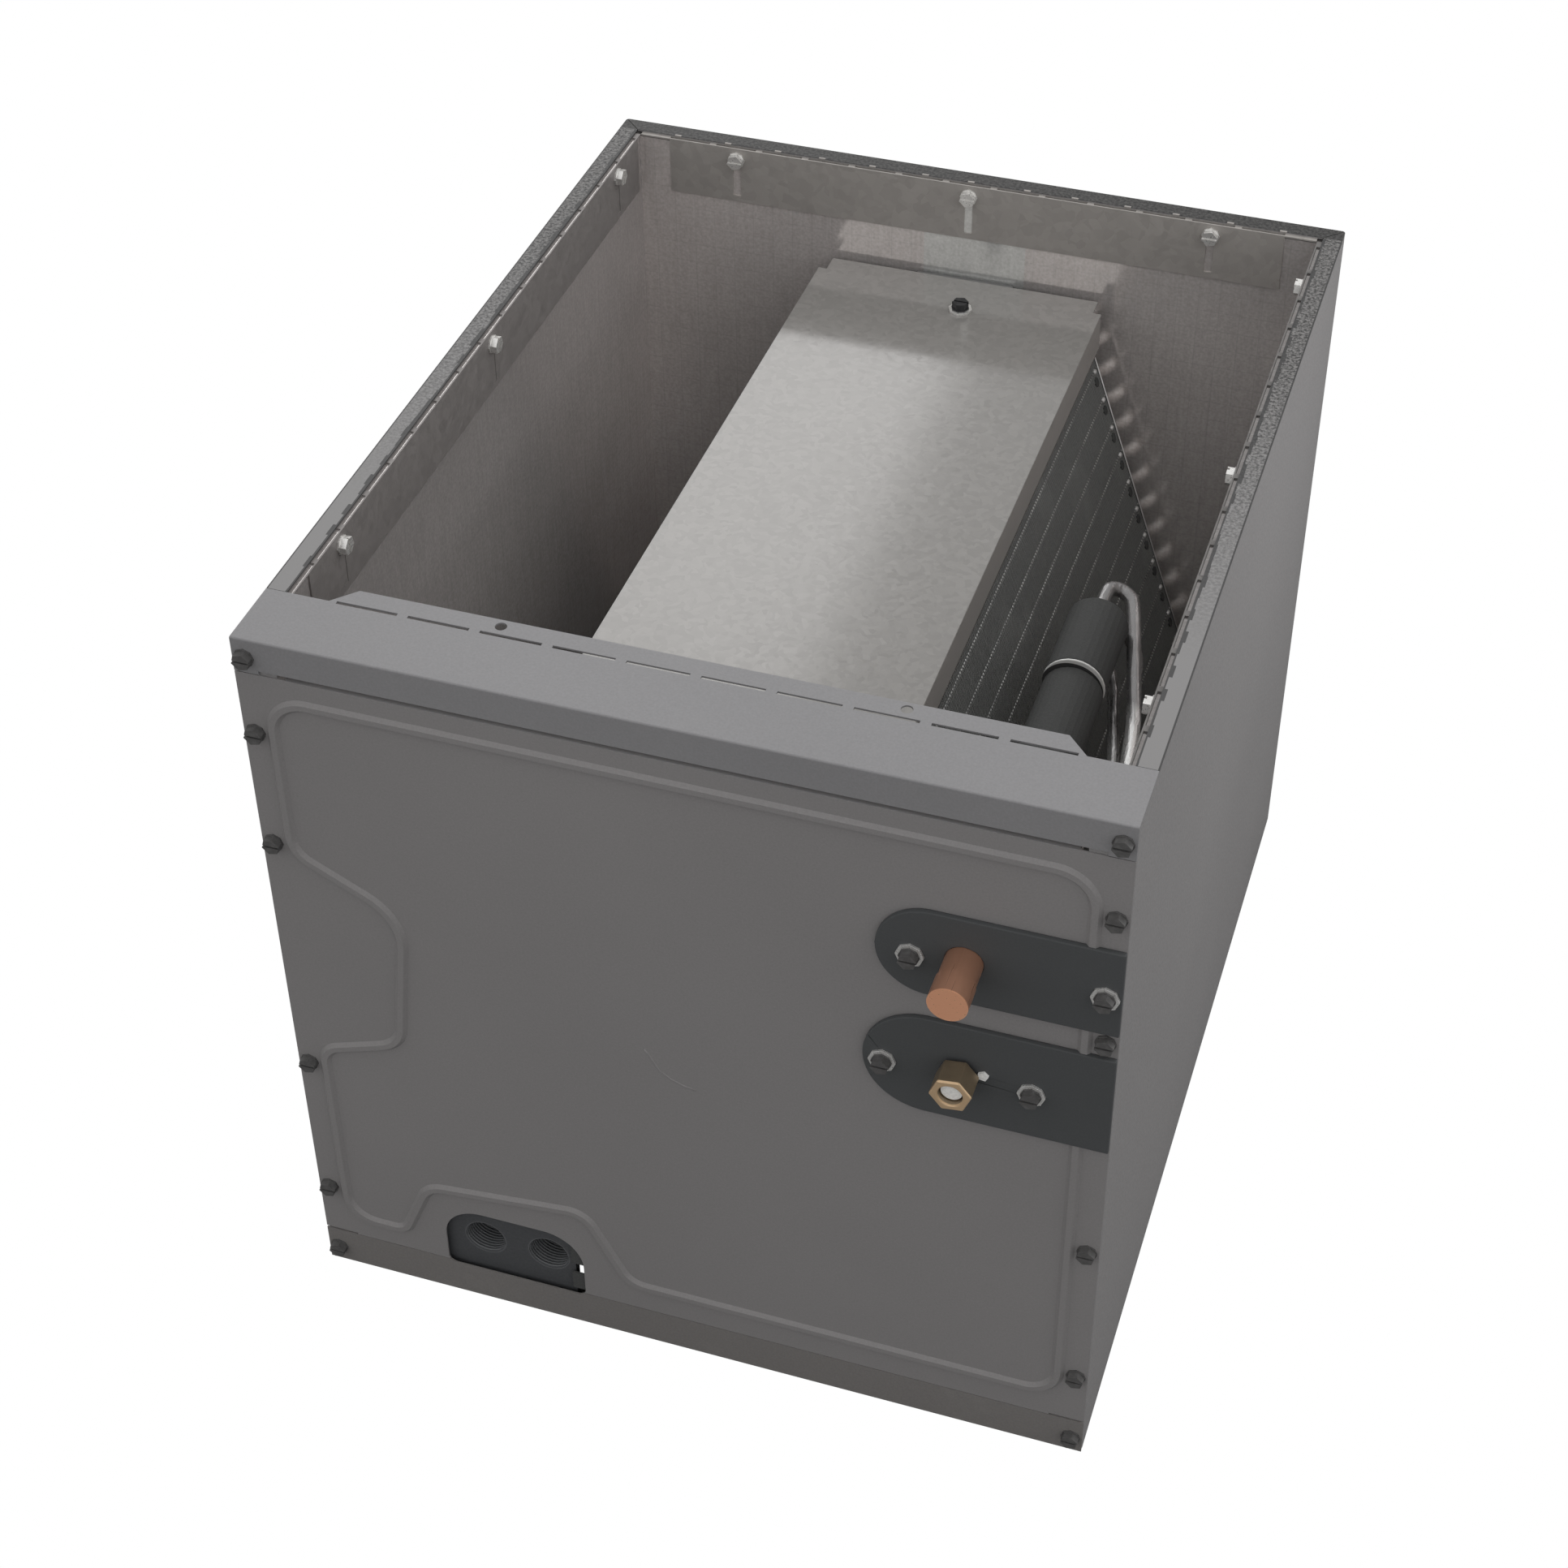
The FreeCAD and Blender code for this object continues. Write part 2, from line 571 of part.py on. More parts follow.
bead = without(bead_loft(bead_foot, bead_crest), [bead_loft(-bead_foot, -bead_crest)])
panel_sheet = box(-HALF, HALF, FRONT, SKIN, PANEL_FOOT, PANEL_TOP)
return_half = HALF - PANEL_RETURN_INSET
top_return = box(-return_half, return_half, FRONT, SKIN + PANEL_RETURN, PANEL_TOP - SHEET, PANEL_TOP)
foot_return = box(-return_half, return_half, FRONT, SKIN + PANEL_RETURN, PANEL_FOOT, PANEL_FOOT + SHEET)
panel = joined([panel_sheet, top_return, foot_return])
relief_x = HALF - PANEL_RELIEF_LENGTH
relief_top = PANEL_FOOT + PANEL_RELIEF_HEIGHT
corner_relief = box(relief_x, WIDTH, FRONT - PAST, FRONT + PAST, PANEL_FOOT - PAST, relief_top)


def line_plate_points(centre_z, radius, inset=0.0):
    # D-shaped plate with a round left end; the right end is cut off square.
    left = HALF - PLATE_LEFT_INSET - radius + inset
    right = HALF - (0 if inset == 0 else FRONT_RETURN + 2 * SHEET)
    low = centre_z - radius + inset
    high = centre_z + radius - inset
    corner = radius - inset - ARC_SLACK
    square = 0 if inset == 0 else corner / 3
    return [(left, low), (right, low), (right, high), (left, high)], [corner, square, square, corner]


suction_points, suction_radii = line_plate_points(SUCTION_Z, SUCTION_PLATE_RADIUS)
liquid_points, liquid_radii = line_plate_points(LIQUID_PLATE_Z, LIQUID_PLATE_RADIUS)


def line_opening(centre_z, radius):
    points, radii = line_plate_points(centre_z, radius, PLATE_OVERLAP)
    return plate_xz(points, FRONT - PAST, SKIN + PANEL_LINER + PAST, radii)


line_openings = [line_opening(SUCTION_Z, SUCTION_PLATE_RADIUS),
                 line_opening(LIQUID_PLATE_Z, LIQUID_PLATE_RADIUS)]
plate_seats = [plate_xz(suction_points, FRONT - PLATE_THICK, FRONT, suction_radii),
               plate_xz(liquid_points, FRONT - PLATE_THICK, FRONT, liquid_radii)]
bead = without(bead, plate_seats)
panel = joined([panel, bead])
panel_holes = screw_holes(panel_screws + suction_screws + liquid_screws)
panel_cuts = panel_holes + line_openings + [drain_cut, drain_room, corner_relief, mirror(corner_relief)]
save("access_panel", without(panel, panel_cuts))

# Line plates over the panel openings
suction_hole = rod_y(LINE_X, SUCTION_Z, SUCTION_RADIUS, FRONT - PAST, FRONT + PAST)
liquid_hole = rod_y(LINE_X, LIQUID_Z, LIQUID_RADIUS, FRONT - PAST, FRONT + PAST)
suction_plate = without(plate_seats[0], [suction_hole] + screw_holes(suction_screws))
liquid_plate = without(plate_seats[1], [liquid_hole] + screw_holes(liquid_screws))
save("suction_line_plate", suction_plate)
save("liquid_line_plate", liquid_plate)

# Duct flange strips: angles under the rim, slotted along the fold, that lift up round their screws
strip_foot = HEIGHT - STRIP_DROP
strip_screw_z = HEIGHT - STRIP_SCREW_DROP
lift_foot = strip_screw_z - LIFT_SLOT_LENGTH
lift_half = LIFT_SLOT_WIDTH / 2
strip_front = RIM_FRONT + STRIP_FRONT_INSET
strip_rear = BACK - STRIP_REAR_INSET
strip_mid = (strip_front + strip_rear) / 2
side_screw_y = [strip_front + STRIP_SCREW_INSET_SIDE, strip_mid, strip_rear - STRIP_SCREW_INSET_SIDE]
shelf_rear = STRIP_Y - STRIP_SHEET - SEAM_GAP
side_shelf = box(STRIP_X - STRIP_SHEET, WALL_X, RIM_FRONT, shelf_rear, STRIP_TOP, SHELF_TOP)
side_leg = box(STRIP_X - STRIP_SHEET, STRIP_X, strip_front, strip_rear, strip_foot, SHELF_TOP)
bridge = STRIP_SLOT_PITCH - STRIP_SLOT_LENGTH
side_cuts = []
slot_y = RIM_FRONT
while slot_y + STRIP_SLOT_LENGTH < shelf_rear:
    slot_end = slot_y + STRIP_SLOT_LENGTH
    side_cuts.append(box(STRIP_X, RIM_X, slot_y, slot_end, STRIP_TOP - PAST, SHELF_TOP + PAST))
    slot_y = slot_y + STRIP_SLOT_PITCH
for y in side_screw_y:
    side_cuts.append(box(STRIP_X - 2 * STRIP_SHEET, STRIP_X + STRIP_SHEET, y - lift_half, y + lift_half,
                         lift_foot, strip_screw_z + lift_half))
right_strip = without(joined([side_shelf, side_leg]), side_cuts)
save("duct_flange_right", right_strip)
save("duct_flange_left", mirror(right_strip))

strip_half = HALF - STRIP_SIDE_INSET
shelf_half = STRIP_X - STRIP_SHEET - SEAM_GAP
rear_screw_span = strip_half - STRIP_SCREW_INSET_REAR
rear_screw_x = [-rear_screw_span, 0.0, rear_screw_span]
rear_shelf = box(-shelf_half, shelf_half, STRIP_Y - STRIP_SHEET, WALL_Y, STRIP_TOP, SHELF_TOP)
rear_leg = box(-strip_half, strip_half, STRIP_Y - STRIP_SHEET, STRIP_Y, strip_foot, SHELF_TOP)
rear_slots = round((2 * strip_half + bridge) / STRIP_SLOT_PITCH)
rear_pitch = (2 * strip_half + bridge) / rear_slots
rear_cuts = []
for i in range(rear_slots):
    slot_x = -strip_half + i * rear_pitch
    slot_end = slot_x + rear_pitch - bridge
    rear_cuts.append(box(slot_x, slot_end, STRIP_Y, RIM_Y, STRIP_TOP - PAST, SHELF_TOP + PAST))
for x in rear_screw_x:
    rear_cuts.append(box(x - lift_half, x + lift_half, STRIP_Y - 2 * STRIP_SHEET, STRIP_Y + STRIP_SHEET,
                         lift_foot, strip_screw_z + lift_half))
save("duct_flange_rear", without(joined([rear_shelf, rear_leg]), rear_cuts))

# Foil-faced liner on the walls and behind the access panel
side_liner = box(STRIP_X, WALL_X, FRONT + LINER_FRONT_INSET, STRIP_Y, LINER_FOOT, STRIP_TOP)
small_ring = ring_points(SCREW_RADIUS, SMALL_SIDES)
upright_ring = ring_points(SCREW_RADIUS, SMALL_SIDES, 90)
side_liner_holes = []
for y in side_screw_y:
    hole = plate_xz([(a, strip_screw_z + b) for a, b in upright_ring], STRIP_X - PAST, WALL_X + PAST)
    hole.rotate(FreeCAD.Vector(0, 0, 0), FreeCAD.Vector(0, 0, 1), -90)
    side_liner_holes.append(hole.translated(FreeCAD.Vector(0, y, 0)))
right_liner = without(side_liner, side_liner_holes)
save("liner_right", right_liner)
save("liner_left", mirror(right_liner))
rear_half = WALL_X - LINER_CORNER_GAP
rear_liner = box(-rear_half, rear_half, STRIP_Y, WALL_Y, LINER_FOOT, STRIP_TOP)
rear_liner_holes = [punched_y(x, strip_screw_z, STRIP_Y - PAST, WALL_Y + PAST) for x in rear_screw_x]
save("liner_rear", without(rear_liner, rear_liner_holes))
panel_liner = box(-return_half, return_half, SKIN, SKIN + PANEL_LINER,
                  PANEL_FOOT + 2 * SHEET, PANEL_TOP - 2 * SHEET)
liner_screws = screw_holes(suction_screws + liquid_screws, SKIN + PANEL_LINER + PAST)
save("liner_panel", without(panel_liner, line_openings + [drain_room] + liner_screws))

# Pan support angles along both sides
support_foot = PAN_RAIL_TOP - PAN_RAIL_HEIGHT
shelf_foot = PAN_RAIL_TOP - PAN_RAIL_SHEET
support_leg = box(WALL_X - PAN_RAIL_SHEET, WALL_X, base_front, STRIP_Y, support_foot, PAN_RAIL_TOP)
support_shelf = box(WALL_X - PAN_RAIL_WIDTH, WALL_X, base_front, STRIP_Y, shelf_foot, PAN_RAIL_TOP)
support = joined([support_leg, support_shelf])
save("pan_support_right", support)
save("pan_support_left", mirror(support))

# Drain pan: a moulded trough round a central air opening, with two drain ports
pan_half = HALF - PAN_SIDE_INSET
pan_front = FRONT + PAN_FRONT_INSET
pan_rear = BACK - PAN_REAR_INSET
pan_top = PAN_RAIL_TOP + PAN_HEIGHT
curb_top = PAN_RAIL_TOP + PAN_CURB
opening_half = pan_half - PAN_TROUGH_WIDTH


def rectangle(half, front, rear):
    return [(-half, front), (half, front), (half, rear), (-half, rear)]


opening_front = FRONT + PAN_OPENING_FRONT
opening_rear = BACK - PAN_OPENING_REAR
pan_body = plate_xy(rectangle(pan_half, pan_front, pan_rear), PAN_RAIL_TOP, pan_top, [PAN_CORNER] * 4)
trough = plate_xy(rectangle(pan_half - PAN_WALL, pan_front + PAN_WALL, pan_rear - PAN_WALL),
                  PAN_FLOOR, pan_top + PAST, [PAN_CORNER - PAN_WALL] * 4)
curb = plate_xy(rectangle(opening_half + PAN_WALL, opening_front - PAN_WALL, opening_rear + PAN_WALL),
                PAN_FLOOR, curb_top)
air_way = plate_xy(rectangle(opening_half, opening_front, opening_rear), 0, pan_top)
port_face = FRONT + PORT_SETBACK
port_flange = box(min(PORT_X) - PORT_FLANGE_LEFT, max(PORT_X) + PORT_FLANGE_RIGHT,
                  port_face, port_face + PORT_FLANGE_THICK, PORT_FLANGE_FOOT, pan_top)
hub_corner = PORT_HUB_RADIUS / math.cos(math.pi / HUB_SIDES)
hub_rings = [[(x + a, PORT_Z + b) for a, b in ring_points(hub_corner, HUB_SIDES)] for x in PORT_X]
port_hubs = [plate_xz(ring, port_face, pan_front + PAN_WALL) for ring in hub_rings]
bores = [rod_y(x, PORT_Z, PORT_BORE, FRONT, pan_front + PAN_WALL + PAST) for x in PORT_X]
pan = joined([without(pan_body, [trough]), curb, port_flange] + port_hubs)
save("drain_pan", without(pan, [air_way] + bores))


# Coil slabs: each leans out from under the cap plate down into the pan
def slab_point(along, inward):
    # Point on the right slab's section: distance down the air face and depth behind that face.
    x = SLAB_TOP_X + along * LEAN_SIN - inward * LEAN_COS
    z = SLAB_TOP_Z - along * LEAN_COS - inward * LEAN_SIN
    return (x, z)


section = [slab_point(0, 0)]
for i in range(TUBE_COUNT):
    middle = (i + 0.5) * TUBE_PITCH
    section.append(slab_point(middle - GROOVE_WIDTH / 2, 0))
    section.append(slab_point(middle, GROOVE_DEPTH))
    section.append(slab_point(middle + GROOVE_WIDTH / 2, 0))
section = section + [slab_point(SLAB_LENGTH, 0), slab_point(SLAB_LENGTH, SLAB_DEPTH),
                     slab_point(0, SLAB_DEPTH)]
right_fins = plate_xz(section, COIL_FRONT, COIL_REAR)
save("coil_fins_right", right_fins)
save("coil_fins_left", mirror(right_fins))


def face_line_x(z, inward):
    # X of a line parallel to the air face, at the given height.
    return SLAB_TOP_X - inward / LEAN_COS + (SLAB_TOP_Z - z) * LEAN_SIN / LEAN_COS


sheet_points = [(face_line_x(PAN_FLOOR, -TUBE_SHEET_MARGIN), PAN_FLOOR),
                (face_line_x(SHELF_Z, -TUBE_SHEET_MARGIN), SHELF_Z),
                (face_line_x(SHELF_Z, SLAB_DEPTH), SHELF_Z), (face_line_x(PAN_FLOOR, SLAB_DEPTH), PAN_FLOOR)]
front_sheet = plate_xz(sheet_points, COIL_FRONT - TUBE_SHEET, COIL_FRONT)
rear_sheet = plate_xz(sheet_points, COIL_REAR, COIL_REAR + TUBE_SHEET)
save("tube_sheet_front_right", front_sheet)
save("tube_sheet_front_left", mirror(front_sheet))
save("tube_sheet_rear_right", rear_sheet)
save("tube_sheet_rear_left", mirror(rear_sheet))


# Return bends: the outer row joined to the middle row at every tube, behind the rear tube sheet
def return_bend(along):
    bend_radius = ROW_PITCH / 2
    rear = COIL_REAR + TUBE_SHEET
    x0, z0 = slab_point(along, FACE_TO_ROW)
    x1, z1 = slab_point(along, FACE_TO_ROW + ROW_PITCH)
    corners = [(x0, rear, z0), (x0, rear + bend_radius, z0), (x1, rear + bend_radius, z1), (x1, rear, z1)]
    return tube(bent_route(corners, bend_radius, 0.5, RETURN_STEP), TUBE_RADIUS, RETURN_SIDES)


bends = [return_bend((i + 0.5) * TUBE_PITCH) for i in range(TUBE_COUNT)]
save("return_bends_right", bends)
save("return_bends_left", [mirror(bend) for bend in bends])

# Cap plate over the peak, with turned-down sides and notched rear corners
cap_front = FRONT + CAP_FRONT_INSET
cap_rear = BACK - CAP_REAR_INSET
notch_x = CAP_HALF - CAP_NOTCH_WIDTH
notch_y = cap_rear - CAP_NOTCH_LENGTH
cap_sheet = plate_xy([(-CAP_HALF, cap_front), (CAP_HALF, cap_front), (CAP_HALF, notch_y), (notch_x, notch_y),
                      (notch_x, cap_rear), (-notch_x, cap_rear), (-notch_x, notch_y), (-CAP_HALF, notch_y)],
                     CAP_TOP - CAP_SHEET, CAP_TOP)
cap_side = box(CAP_HALF - CAP_SHEET, CAP_HALF, cap_front, notch_y, CAP_TOP - CAP_FLANGE, CAP_TOP)
cap_screw_y = BACK - CAP_SCREW_INSET
cap_hole = plate_xy([(CAP_SCREW_X + a, cap_screw_y + b) for a, b in small_ring],
                    SHELF_Z - PAST, CAP_TOP + PAST)
save("coil_cap_plate", without(joined([cap_sheet, cap_side, mirror(cap_side)]), [cap_hole]))


# Block plates close the A at both ends, each with a shelf turned under the cap plate
def block_outline(inward, foot_z, limit):
    top_x = face_line_x(SHELF_Z, inward)
    foot_x = face_line_x(foot_z, inward)
    if foot_x > limit:
        corner_z = SHELF_Z - (limit - top_x) * LEAN_COS / LEAN_SIN
        return [(-limit, foot_z), (limit, foot_z), (limit, corner_z), (top_x, SHELF_Z),
                (-top_x, SHELF_Z), (-limit, corner_z)]
    return [(-foot_x, foot_z), (foot_x, foot_z), (top_x, SHELF_Z), (-top_x, SHELF_Z)]


block_inward = SLAB_DEPTH - BLOCK_LAP
rear_block = plate_xz(block_outline(block_inward, LINER_FOOT, pan_half), BLOCK_REAR, BLOCK_REAR + BLOCK_SHEET)
rear_shelf_top = box(-BLOCK_SHELF_HALF, BLOCK_SHELF_HALF,
                     BLOCK_REAR - BLOCK_SHELF_DEPTH, BLOCK_REAR + BLOCK_SHEET, SHELF_Z, SHELF_Z + BLOCK_SHEET)
save("block_plate_rear", without(joined([rear_block, rear_shelf_top]), [cap_hole]))
front_block = plate_xz(block_outline(block_inward, curb_top + BLOCK_FOOT_CLEAR, opening_half),
                       BLOCK_FRONT, BLOCK_FRONT + BLOCK_SHEET)
front_shelf_top = box(-BLOCK_SHELF_HALF, BLOCK_SHELF_HALF, BLOCK_FRONT, BLOCK_FRONT + FRONT_SHELF_DEPTH,
                      SHELF_Z, SHELF_Z + BLOCK_SHEET)
save("block_plate_front", joined([front_block, front_shelf_top]))

# Suction line with its capped stub, foam sleeves and ring
stub_end = FRONT - STUB_OUT
suction_outer = rod_y(LINE_X, SUCTION_Z, SUCTION_RADIUS, stub_end + STUB_CAP_END, SLEEVE_REAR)
suction_bore = rod_y(LINE_X, SUCTION_Z, SUCTION_RADIUS - SUCTION_WALL, stub_end, SLEEVE_REAR - SUCTION_WALL)
save("suction_line", without(suction_outer, [suction_bore]))
stub_cap = without(rod_y(LINE_X, SUCTION_Z, STUB_CAP_RADIUS, stub_end, stub_end + STUB_CAP_LENGTH),
                   [rod_y(LINE_X, SUCTION_Z, SUCTION_RADIUS, stub_end + STUB_CAP_END, FRONT)])
save("suction_stub_cap", stub_cap)


def sleeve(radius, y0, y1, sag=0.0):
    # Foam of many flat sides round the line; a sagging sleeve hangs lower than the line it covers.
    around = [(LINE_X + a, SUCTION_Z - sag + b) for a, b in ring_points(radius, SLEEVE_SIDES)]
    bore_corner = SUCTION_RADIUS / math.cos(math.pi / SLEEVE_SIDES)
    bore = [(LINE_X + a, SUCTION_Z + b) for a, b in ring_points(bore_corner, SLEEVE_SIDES)]
    return without(plate_xz(around, y0, y1), [plate_xz(bore, y0 - PAST, y1 + PAST)])


save("suction_sleeve_front", sleeve(FRONT_SLEEVE_RADIUS, FRONT + SLEEVE_START, RING_Y, FRONT_SLEEVE_SAG))
save("suction_sleeve_ring", sleeve(RING_RADIUS, RING_Y, RING_Y + RING_THICK))
save("suction_sleeve_rear", sleeve(REAR_SLEEVE_RADIUS, RING_Y + RING_THICK, SLEEVE_REAR))

# Liquid line, flare nut, plug and expansion valve with its distributor
nut_back = FRONT - PLATE_THICK - NUT_STAND_OFF
nut_face = nut_back - NUT_LENGTH
valve_front = FRONT + VALVE_SETBACK
valve_back = valve_front + VALVE_LENGTH
liquid_start = nut_face + PLUG_RECESS + PLUG_LENGTH
save("liquid_line", rod_y(LINE_X, LIQUID_Z, LIQUID_RADIUS, liquid_start, valve_front))
nut_corner = NUT_ACROSS / math.sqrt(3)
nut_points = [(LINE_X + a, LIQUID_Z + b) for a, b in ring_points(nut_corner, 6, NUT_TURN)]
nut = plate_xz(nut_points, nut_face, nut_back)
nut_cuts = [rod_y(LINE_X, LIQUID_Z, NUT_BORE, nut_face - PAST, liquid_start),
            rod_y(LINE_X, LIQUID_Z, LIQUID_RADIUS, nut_face, nut_back + PAST)]
save("flare_nut", without(nut, nut_cuts))
save("flare_plug", rod_y(LINE_X, LIQUID_Z, PLUG_RADIUS, liquid_start - PLUG_LENGTH, liquid_start))
valve_body = box(LINE_X - VALVE_HALF, LINE_X + VALVE_HALF, valve_front, valve_back,
                 LIQUID_Z - VALVE_FOOT, LIQUID_Z + VALVE_HALF)
valve_mid = (valve_front + valve_back) / 2
valve_top = LIQUID_Z + VALVE_HALF
dome_points = [(LINE_X + a, valve_mid + b) for a, b in ring_points(VALVE_DOME_RADIUS, COLLAR_SIDES)]
valve_dome = plate_xy(dome_points, valve_top, valve_top + VALVE_DOME_HEIGHT)
distributor_points = [(LINE_X + a, LIQUID_Z + b) for a, b in ring_points(DISTRIBUTOR_RADIUS, COLLAR_SIDES)]
distributor = plate_xz(distributor_points, valve_back, valve_back + DISTRIBUTOR_LENGTH)
save("expansion_valve", joined([valve_body, valve_dome, distributor]))


# Thin aluminium tubes from the distributor and the suction line to the coil's front tube sheet
def coil_tube(points, radius, bend, along, inward):
    # The tube's last run meets the tube sheet square on.
    x, z = slab_point(along, inward)
    sheet_y = COIL_FRONT - TUBE_SHEET
    return tube(bent_route(points + [(x, sheet_y - COIL_TUBE_LEAD, z), (x, sheet_y, z)], bend), radius)


feeder_start = valve_back + DISTRIBUTOR_LENGTH
feeders = []
for i, turn in enumerate(math.radians(angle) for angle in FEEDER_TURNS):
    x = LINE_X + FEEDER_RING * math.cos(turn)
    z = LIQUID_Z + FEEDER_RING * math.sin(turn)
    loop = FEEDER_LOOP + FEEDER_LOOP_STEP * i
    points = [(x, feeder_start, z), (x, feeder_start + loop, z),
              (x + loop, feeder_start + loop, z - 2 * loop), (x + loop, feeder_start - loop, z - 3 * loop)]
    reach = FEEDER_REACH + COIL_TUBE_STEP * i
    feeders.append(coil_tube(points, FEEDER_RADIUS, FEEDER_BEND, reach, FACE_TO_ROW + ROW_PITCH))
save("feeder_tubes", feeders)

circuit_tubes = []
for i, path in enumerate(CIRCUIT_PATHS):
    points = [(LINE_X + x, SLEEVE_REAR + y, SUCTION_Z + z) for x, y, z in path]
    reach = CIRCUIT_REACH + COIL_TUBE_STEP * i
    circuit_tubes.append(coil_tube(points, CIRCUIT_TUBE_RADII[i], CIRCUIT_BEND, reach, FACE_TO_ROW))
save("circuit_tubes", circuit_tubes)

# Screws and washers
front_screws = []
for x, z in panel_screws + rail_screws + base_screws:
    front_screws.append(facing(screw(SCREW_REACH), (0, -1, 0), (x, FRONT, z)))
save("case_screws", front_screws)
plate_face = FRONT - PLATE_THICK
plate_screws = []
plate_washers = []
for x, z in suction_screws + liquid_screws:
    place = (x, plate_face, z)
    plate_screws.append(facing(screw(PLATE_THICK + SCREW_REACH, WASHER_THICK), (0, -1, 0), place))
    plate_washers.append(facing(washer_ring(), (0, -1, 0), place))
save("line_plate_screws", plate_screws)
save("line_plate_washers", plate_washers)
strip_reach = STRIP_SHEET + WALL_X - STRIP_X
strip_screws = []
for y in side_screw_y:
    strip_screws.append(facing(screw(strip_reach), (-1, 0, 0), (STRIP_X - STRIP_SHEET, y, strip_screw_z)))
    strip_screws.append(facing(screw(strip_reach), (1, 0, 0), (STRIP_SHEET - STRIP_X, y, strip_screw_z)))
for x in rear_screw_x:
    strip_screws.append(facing(screw(strip_reach), (0, -1, 0), (x, STRIP_Y - STRIP_SHEET, strip_screw_z)))
save("duct_flange_screws", strip_screws)
cap_place = (CAP_SCREW_X, cap_screw_y, CAP_TOP)
save("cap_screw", facing(screw(CAP_SHEET + BLOCK_SHEET, WASHER_THICK), (0, 0, 1), cap_place))
save("cap_washer", facing(washer_ring(), (0, 0, 1), cap_place))
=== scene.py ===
import bpy
import math
import random
from mathutils import Matrix, Vector


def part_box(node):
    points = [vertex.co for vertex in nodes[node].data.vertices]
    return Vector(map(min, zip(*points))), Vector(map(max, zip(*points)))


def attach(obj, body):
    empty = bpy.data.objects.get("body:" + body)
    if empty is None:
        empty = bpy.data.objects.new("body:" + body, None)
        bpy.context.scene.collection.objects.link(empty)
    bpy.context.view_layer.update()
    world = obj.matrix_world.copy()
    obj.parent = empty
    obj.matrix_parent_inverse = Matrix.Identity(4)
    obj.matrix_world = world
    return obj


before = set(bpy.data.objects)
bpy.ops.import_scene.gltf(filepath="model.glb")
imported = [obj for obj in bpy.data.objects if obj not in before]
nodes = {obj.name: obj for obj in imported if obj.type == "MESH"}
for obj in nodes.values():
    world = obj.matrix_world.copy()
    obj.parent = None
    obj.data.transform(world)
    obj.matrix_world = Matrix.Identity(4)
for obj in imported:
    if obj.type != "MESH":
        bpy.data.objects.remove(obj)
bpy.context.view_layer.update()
random.seed(41)
scene = bpy.context.scene


# Shader building

def newTree(name):
    mat = bpy.data.materials.new(name)
    mat.use_nodes = True
    tree = mat.node_tree
    tree.nodes.clear()
    return mat, tree


def add(tree, kind, inputs=None, **settings):
    # Adds a node, sets its properties, then feeds each named input a value or a link.
    node = tree.nodes.new(kind)
    for key, value in settings.items():
        setattr(node, key, value)
    for key, value in (inputs or {}).items():
        socket = node.inputs[key]
        if isinstance(value, bpy.types.NodeSocket):
            tree.links.new(value, socket)
        else:
            socket.default_value = value
    return node


def maths(tree, operation, a, b=0.0, clamp=False):
    return add(tree, "ShaderNodeMath", {0: a, 1: b}, operation=operation, use_clamp=clamp).outputs[0]


def ramp(tree, value, low, high, outLow=0.0, outHigh=1.0):
    return add(tree, "ShaderNodeMapRange", {"Value": value, "From Min": low, "From Max": high,
                                            "To Min": outLow, "To Max": outHigh}).outputs["Result"]


def mixColor(tree, factor, a, b, blend="MIX"):
    node = add(tree, "ShaderNodeMix", data_type="RGBA", blend_type=blend, clamp_factor=True)
    for index, value in ((0, factor), (6, a), (7, b)):
        if isinstance(value, bpy.types.NodeSocket):
            tree.links.new(value, node.inputs[index])
        else:
            node.inputs[index].default_value = value
    return node.outputs[2]


def objectCoords(tree):
    return add(tree, "ShaderNodeTexCoord").outputs["Object"]


def splitXYZ(tree, place):
    return add(tree, "ShaderNodeSeparateXYZ", {"Vector": place}).outputs


def noise(tree, place, scale, **inputs):
    # Plain noise value; further inputs are given by name, such as Detail.
    fed = {"Vector": place, "Scale": scale}
    fed.update(inputs)
    return add(tree, "ShaderNodeTexNoise", fed).outputs["Fac"]


def reachFrom(tree, axes, x, z):
    # Distance from a line along y through x, z.
    dx = maths(tree, "SUBTRACT", axes[0], x)
    dz = maths(tree, "SUBTRACT", axes[2], z)
    squares = maths(tree, "ADD", maths(tree, "MULTIPLY", dx, dx), maths(tree, "MULTIPLY", dz, dz))
    return maths(tree, "SQRT", squares)


def newGroup(name, inputs, outputs):
    group = bpy.data.node_groups.new(name, "ShaderNodeTree")
    for label, kind, default in inputs:
        socket = group.interface.new_socket(label, in_out="INPUT", socket_type=kind)
        if default is not None:
            socket.default_value = default
    for label, kind in outputs:
        group.interface.new_socket(label, in_out="OUTPUT", socket_type=kind)
    return group, add(group, "NodeGroupInput").outputs, add(group, "NodeGroupOutput").inputs


def useGroup(tree, group, inputs):
    node = add(tree, "ShaderNodeGroup", node_tree=group)
    for key, value in inputs.items():
        if isinstance(value, bpy.types.NodeSocket):
            tree.links.new(value, node.inputs[key])
        else:
            node.inputs[key].default_value = value
    return node.outputs


